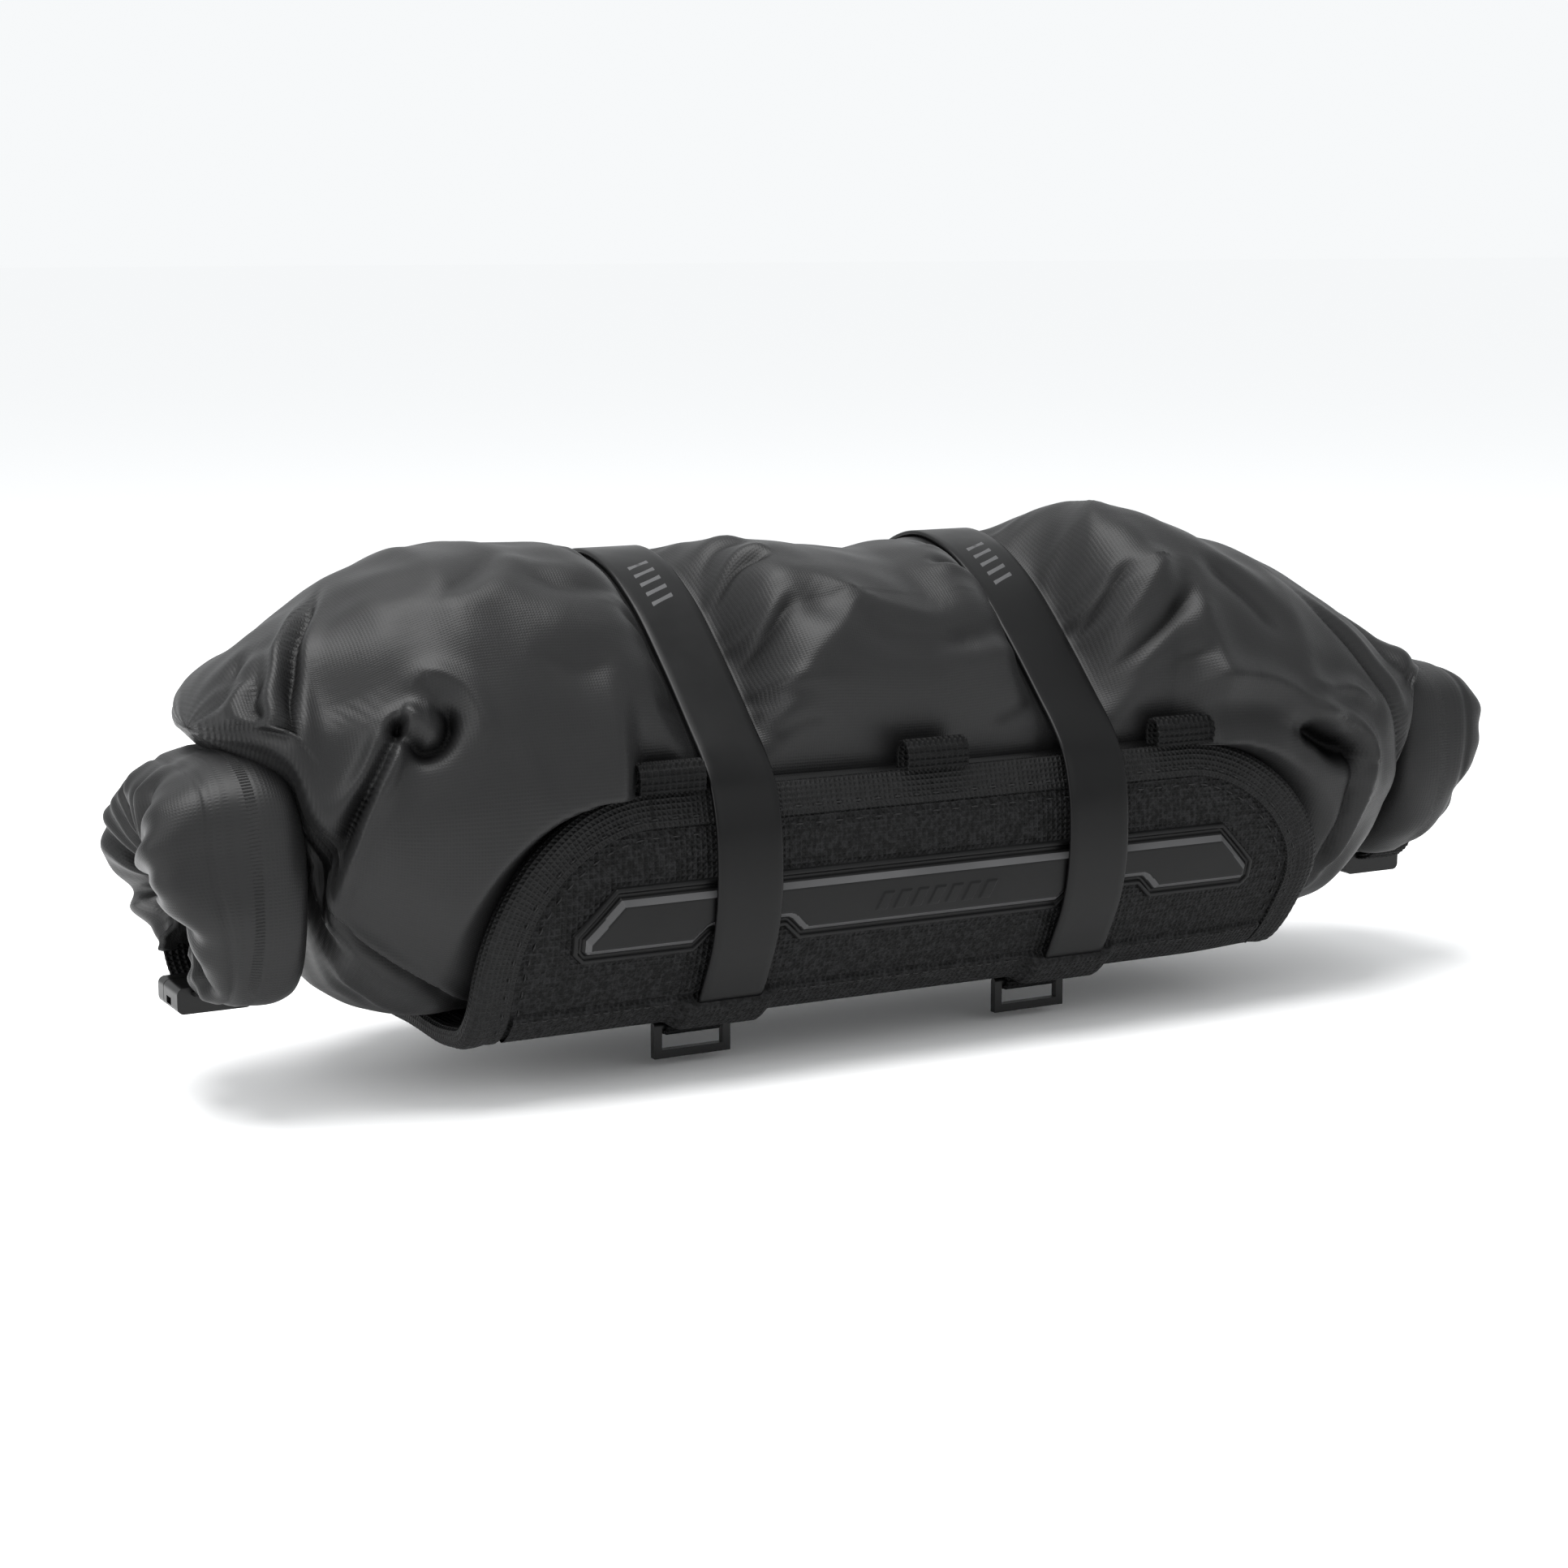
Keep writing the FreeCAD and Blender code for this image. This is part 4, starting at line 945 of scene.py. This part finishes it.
def binding(line, wide):
    """Tape folded over the cradle's edge, with a row of stitches along it."""
    run, normal = run_length(line), outward(line)
    flat, inward, ahead, even = border(line, wide)
    section = [
        (TAPE, 0.1), (TAPE - 0.3, 0.9), (TAPE - 2.2, 1.1), (8.6, 0.9), (6, 1.3), (2.5, 1.6),
        (0.4, 1.3), (-1.2, 0.0), (-1.9, -SHEET / 2), (-1.2, -SHEET), (0.4, -SHEET - 0.9),
        (4, -SHEET - 1.0), (TAPE - 0.5, -SHEET - 0.8), (TAPE, -SHEET - 0.1),
    ]
    sec = spline(section, 34)
    places = flat[:, None, :] + inward[:, None, :] * sec[None, :, :1]
    height = sec[None, :, 1] + 0 * places[..., 0]
    ribs = 0.12 * np.sin(even[:, None] * math.tau / 3.4 + 0 * height)
    height = height + np.where(height > 0.3, ribs, 0)
    verts = lay_on(line, run, normal, places, height)
    uv = np.stack(np.broadcast_arrays(even[:, None], run_length(sec)[None, :]), axis=-1)
    faces = grid_faces(*verts.shape[:2], wrap_rows=True)
    obj = make_object(
        "edge_tape", verts, faces, uv, slot="binding_tape", mat=BINDING,
    )
    fix_normals(obj)
    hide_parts("front_edge_binding", "back_edge_binding")
    for name, inset, lift in (("edge_stitches", 9.4, 0.9), ("seam_stitches", 15.5, 0.15)):
        spots = flat + inward * inset
        stitches(name, line, run, normal, spots[::5], ahead[::5], lift)


def stitches(name, line, run, normal, spots, ahead, lift, length=3.0, radius=0.32):
    """A row of short thread stitches, each a small rounded bar that dips at its ends."""
    verts, faces = [], []
    for spot, way in zip(spots, ahead):
        start = len(verts)
        for share in (-1, -0.6, 0, 0.6, 1):
            place = spot + way * share * length / 2
            thin = radius * (1 - 0.55 * abs(share))
            side = np.array([-way[1], way[0]])
            for k in range(6):
                turn = math.tau * k / 6
                at = place + side * thin * math.cos(turn)
                rise = lift + 0.2 - 0.35 * share * share + thin * math.sin(turn)
                verts.append(lay_on(line, run, normal, at, rise))
        faces.extend(grid_faces(5, 6, wrap_cols=True, start=start).tolist())
    obj = make_object(name, np.array(verts), faces, slot="harness_fabric", mat=THREAD)
    fix_normals(obj)


def bottom_strip(line):
    """The strip along the panel's foot, raised in a flat-topped patch over each strap."""
    run, normal = run_length(line), outward(line)
    first = place_of(line, run, -56.5, -65.2)
    last = place_of(line, run, -43.5, -76.8)
    x = np.linspace(-156, 156, 400)
    t = np.linspace(0, 1, 14)
    rise = np.zeros_like(x)
    for strap_x in STRAP_X.values():
        rise = np.maximum(rise, 1 - smooth_step(14, 21, np.abs(x - strap_x)))
    top = 1.3 + 3.6 * rise[:, None] + 0.35 * bell(t[None, :], 0.12, 0.07)
    height = top * np.minimum(1, np.minimum(t, 1 - t)[None, :] * 12)
    flat = np.stack(np.broadcast_arrays(x[:, None], (first + (last - first) * t)[None, :]), axis=-1)
    verts = lay_on(line, run, normal, flat, height)
    obj = make_object(
        "foot_strip", verts, grid_faces(*height.shape), flat, slot="harness_fabric", mat=HARNESS,
    )
    fix_normals(obj)
    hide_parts("bottom_strip")
    spots = np.column_stack([np.arange(-152, 153, 3.8), np.full(81, first + 2.0)])
    keep = np.all([np.abs(spots[:, 0] - sx) > 22 for sx in STRAP_X.values()], axis=0)
    ahead = np.tile([1.0, 0.0], (81, 1))
    stitches("foot_stitches", line, run, normal, spots[keep], ahead[keep], 1.4)


# ---------------------------------------------------------------- the moulded plate

PLATE_HALF, PLATE_LOW, PLATE_HIGH = 138.5, -48.5, -23.0
# The relief's height at distances in from the outline, and where its chamfer lies, painted pale as a
# highlight.
PLATE_HIGHLIGHT_BAND = (4.0, 5.8)
PLATE_STEPS = [
    (-0.01, 0.0), (0.5, 1.5), (1.6, 1.6), (2.1, 0.5), (3.1, 0.5), (3.5, 1.6), (3.8, 1.7),
    (5.9, 3.8), (6.6, 3.9),
]


def plate_outline():
    """The plate's outline, (x, z): pointed ends, and a notch where each strap passes."""
    chamfer, foot, notch, slant = 15.0, 3.5, 5.5, 6.0
    right = [
        (53, PLATE_LOW), (53 + slant, PLATE_LOW + notch), (93 - slant, PLATE_LOW + notch),
        (93, PLATE_LOW), (PLATE_HALF - foot, PLATE_LOW), (PLATE_HALF, PLATE_LOW + foot),
        (PLATE_HALF, PLATE_HIGH - chamfer), (PLATE_HALF - chamfer, PLATE_HIGH),
    ]
    return np.array(right + [(-x, z) for x, z in reversed(right)], float)


def inside_distance(x, z, outline):
    """Distance from the outline, positive inside."""
    a, b = outline, np.roll(outline, -1, axis=0)
    best = np.full(x.shape, 1e9)
    inside = np.zeros(x.shape, bool)
    for (ax, az), (bx, bz) in zip(a, b):
        dx, dz = bx - ax, bz - az
        t = np.clip(((x - ax) * dx + (z - az) * dz) / (dx * dx + dz * dz), 0, 1)
        best = np.minimum(best, np.hypot(x - ax - t * dx, z - az - t * dz))
        if dz:
            crosses = ((az > z) != (bz > z)) & (x < ax + (z - az) * dx / dz)
            inside ^= crosses
    return np.where(inside, best, -best)


def plate(line):
    """The plate as a fine raised relief laid on the cradle, with a plain bar motif."""
    run, normal = run_length(line), outward(line)
    front = line[:80]
    cols, rows = 860, 84
    x = np.linspace(-PLATE_HALF - 0.4, PLATE_HALF + 0.4, cols)[:, None]
    z = np.linspace(PLATE_LOW - 0.4, PLATE_HIGH + 0.4, rows)[None, :]
    x, z = np.broadcast_arrays(x, z)
    depth = inside_distance(x, z, plate_outline())
    steps = np.array(PLATE_STEPS)
    height = np.interp(depth, steps[:, 0], steps[:, 1])
    for k in range(-3, 4):
        lean = x - k * 7.0 - (z + 36) * 0.5
        bar = smooth_step(2.3, 1.9, np.abs(lean)) * smooth_step(3.2, 2.8, np.abs(z + 36.5))
        height = height + 0.55 * bar
    order = np.argsort(front[:, 1])
    place = np.interp(z, front[order, 1], run[:80][order])
    flat = np.stack([x, place], axis=-1)
    verts = lay_on(line, run, normal, flat, height + 0.1)
    faces = grid_faces(cols, rows)
    keep = (depth > -0.25).ravel()[faces].all(axis=1)
    obj = make_object(
        "plate_relief", verts, faces[keep], slot="moulded_plate", mat=PLATE_MAT
    )
    # The chamfer faces take the lighter material: a painted highlight.
    obj.data.materials.append(EDGE_HIGHLIGHT_MAT)
    middle = depth.ravel()[faces[keep]].mean(axis=1)
    chamfer = (middle > PLATE_HIGHLIGHT_BAND[0]) & (middle < PLATE_HIGHLIGHT_BAND[1])
    obj.data.polygons.foreach_set("material_index", chamfer.astype(np.int32))
    bm = bmesh.new()
    bm.from_mesh(obj.data)
    bmesh.ops.delete(bm, geom=[v for v in bm.verts if not v.link_faces], context="VERTS")
    bm.to_mesh(obj.data)
    bm.free()
    fix_normals(obj)
    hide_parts("front_plate")


# ---------------------------------------------------------------- webbing

def weft_ribs(path, sec):
    """Raised ribs across the webbing."""
    run = run_length(path)[:, None]
    return 0.26 * np.sin(run * math.tau / 2.2) * np.sign(sec[None, :, 1])


def webbing(name, points, count, x, half_wide, thick, node):
    """One ribbed band through (y, z) points at x."""
    pts, normal = profile_at(spline(points, count), x)
    obj = swept(
        name, pts, normal, (1, 0, 0), half_wide, thick, weft_ribs, slot="webbing", mat=WEBBING
    )
    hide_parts(node)


def arc_points(cy, cz, radius, first, last, count):
    """Points on a circle in Y and Z, from one angle to another in degrees."""
    angles = [math.radians(first + (last - first) * i / (count - 1)) for i in range(count)]
    return [(cy + radius * math.cos(a), cz + radius * math.sin(a)) for a in angles]


LOOP_X = {"left": -102.0, "centre": 1.02, "right": 106.08}
RING_Y, RING_Z = -27.0, -84.2
BAR_X, BAR_TURN = {"left": -35.0, "right": 35.0}, 16.9
CLIP_Z = -60.0


def webbing_pieces():
    """The loops, ring tabs, handlebar straps and clip tabs."""
    for side, x in LOOP_X.items():
        path = [(-68.2, 7.6), (-68.4, 13.4), (-67.0, 16.3), (-64.8, 17.0), (-62.6, 16.3),
                (-61.2, 13.4), (-61.4, 7.6)]
        webbing(f"loop_web_{side}", path, 60, x, WEB / 2, 1.5, f"webbing_loop_{side}")
    for side, x in STRAP_X.items():
        eye = arc_points(RING_Y, RING_Z, 2.55, 90, -250, 14)
        path = [(-38.0, -81.8), (-33.0, -81.7), *eye]
        webbing(f"ring_web_{side}", path, 90, x, 11.0, 1.3, f"ring_tab_{side}")
    for side, x in BAR_X.items():
        turn = arc_points(BAR_AHEAD, BAR_ABOVE, BAR_TURN, 90, -90, 14)
        path = [(84.0, BAR_ABOVE + BAR_TURN), (100.0, BAR_ABOVE + BAR_TURN), *turn,
                (100.0, BAR_ABOVE - BAR_TURN), (84.0, BAR_ABOVE - BAR_TURN)]
        webbing(f"bar_web_{side}", path, 160, x, WEB / 2, 2.0, f"bar_strap_{side}")
    for side, sign in (("left", -1), ("right", 1)):
        for end, start, way in (("front", -7.6, -1), ("back", 9.6, 1)):
            path = [(start, CLIP_Z + 2.3), (start + way * 5, CLIP_Z + 3.3),
                    (start + way * 12, CLIP_Z + 8.5), (start + way * 16, CLIP_Z + 17.0)]
            webbing(f"{side}_{end}_clip_web", path, 30, sign * ROLL_X, 8.0, 1.4,
                    f"{side}_clip_{end}_tab")


build_bag()
roll_cloth("left", -1, LEFT_ROLL)
roll_cloth("right", 1, RIGHT_ROLL)
straps()
cradle, cradle_wide = harness()
binding(cradle, cradle_wide)
bottom_strip(cradle)
plate(cradle)
webbing_pieces()

HARD_NODES = {
    "strap_rivets": (RIVET_MAT, 0.3), "mount_panel": (PAD_MAT, 0.4),
}
for side in SIDES:
    HARD_NODES[f"strap_ring_{side}"] = (BUCKLE_MAT, 0.25)
    HARD_NODES[f"{side}_clip_socket"] = (BUCKLE_MAT, 0.3)
    HARD_NODES[f"{side}_clip_plug"] = (BUCKLE_MAT, 0.3)
    HARD_NODES[f"bar_pad_{side}"] = (PAD_MAT, 0.6)
    HARD_NODES[f"cam_frame_{side}"] = (BUCKLE_MAT, 0.25)
    HARD_NODES[f"cam_lever_{side}"] = (BUCKLE_MAT, 0.3)
    HARD_NODES[f"cam_pin_{side}"] = (RIVET_MAT, 0.15)
for node, (mat, round_mm) in HARD_NODES.items():
    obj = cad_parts[node]
    obj.data.materials.clear()
    obj.data.materials.append(mat)
    bevel = obj.modifiers.new("soft_edges", "BEVEL")
    bevel.width = round_mm * MM
    bevel.segments = 2
    bevel.limit_method = "ANGLE"

# ---------------------------------------------------------------- stage, light and camera

TARGET = np.array([-23.6, 0.0, -7.0])
AZIMUTH, ELEVATION, DISTANCE, LENS = -28.0, 10.19, 1142.0, 71.67


def stage():
    low, _ = CAD_BOX
    bpy.ops.mesh.primitive_plane_add(size=40, location=(0, 0, low.z - 0.004))
    floor = bpy.context.object
    floor.name = "floor"
    mat, _, bsdf = new_material("pale_floor")
    bsdf.inputs["Base Color"].default_value = (0.985, 0.985, 0.985, 1)
    bsdf.inputs["Roughness"].default_value = 0.9
    bsdf.inputs["Specular IOR Level"].default_value = 0.0
    floor.data.materials.append(mat)
    world = bpy.data.worlds.new("studio")
    bpy.context.scene.world = world
    world.use_nodes = True
    back = world.node_tree.nodes["Background"]
    back.inputs["Color"].default_value = (0.93, 0.945, 0.955, 1)
    back.inputs["Strength"].default_value = 1.0
    bpy.context.scene.view_settings.view_transform = "Standard"


def area_light(name, place_mm, aim_mm, size, power):
    light = bpy.data.lights.new(name, "AREA")
    light.shape = "DISK"
    light.size = size
    light.energy = power
    obj = bpy.data.objects.new(name, light)
    place, aim = ((np.array(p) + TO_ROW) * MM for p in (place_mm, aim_mm))
    obj.location = Vector(place)
    obj.rotation_euler = (Vector(aim) - Vector(place)).to_track_quat("-Z", "Y").to_euler()
    bpy.context.scene.collection.objects.link(obj)


def camera():
    a, e = math.radians(AZIMUTH), math.radians(ELEVATION)
    back = np.array([math.sin(a) * math.cos(e), -math.cos(a) * math.cos(e), math.sin(e)])
    data = bpy.data.cameras.new("camera")
    data.lens = LENS
    data.sensor_width = 36.0
    obj = bpy.data.objects.new("camera", data)
    place = (TARGET + back * DISTANCE + TO_ROW) * MM
    aim = (TARGET + TO_ROW) * MM
    obj.location = Vector(place)
    obj.rotation_euler = (Vector(aim) - Vector(place)).to_track_quat("-Z", "Y").to_euler()
    bpy.context.scene.collection.objects.link(obj)
    bpy.context.scene.camera = obj


stage()
area_light("key", (-300, -60, 1150), (0, 0, 0), 1.1, 24)
area_light("side", (-1250, -350, 420), (-100, 0, 0), 0.6, 5)
area_light("front", (350, -1300, 650), (0, 0, 0), 0.9, 1.5)
camera()
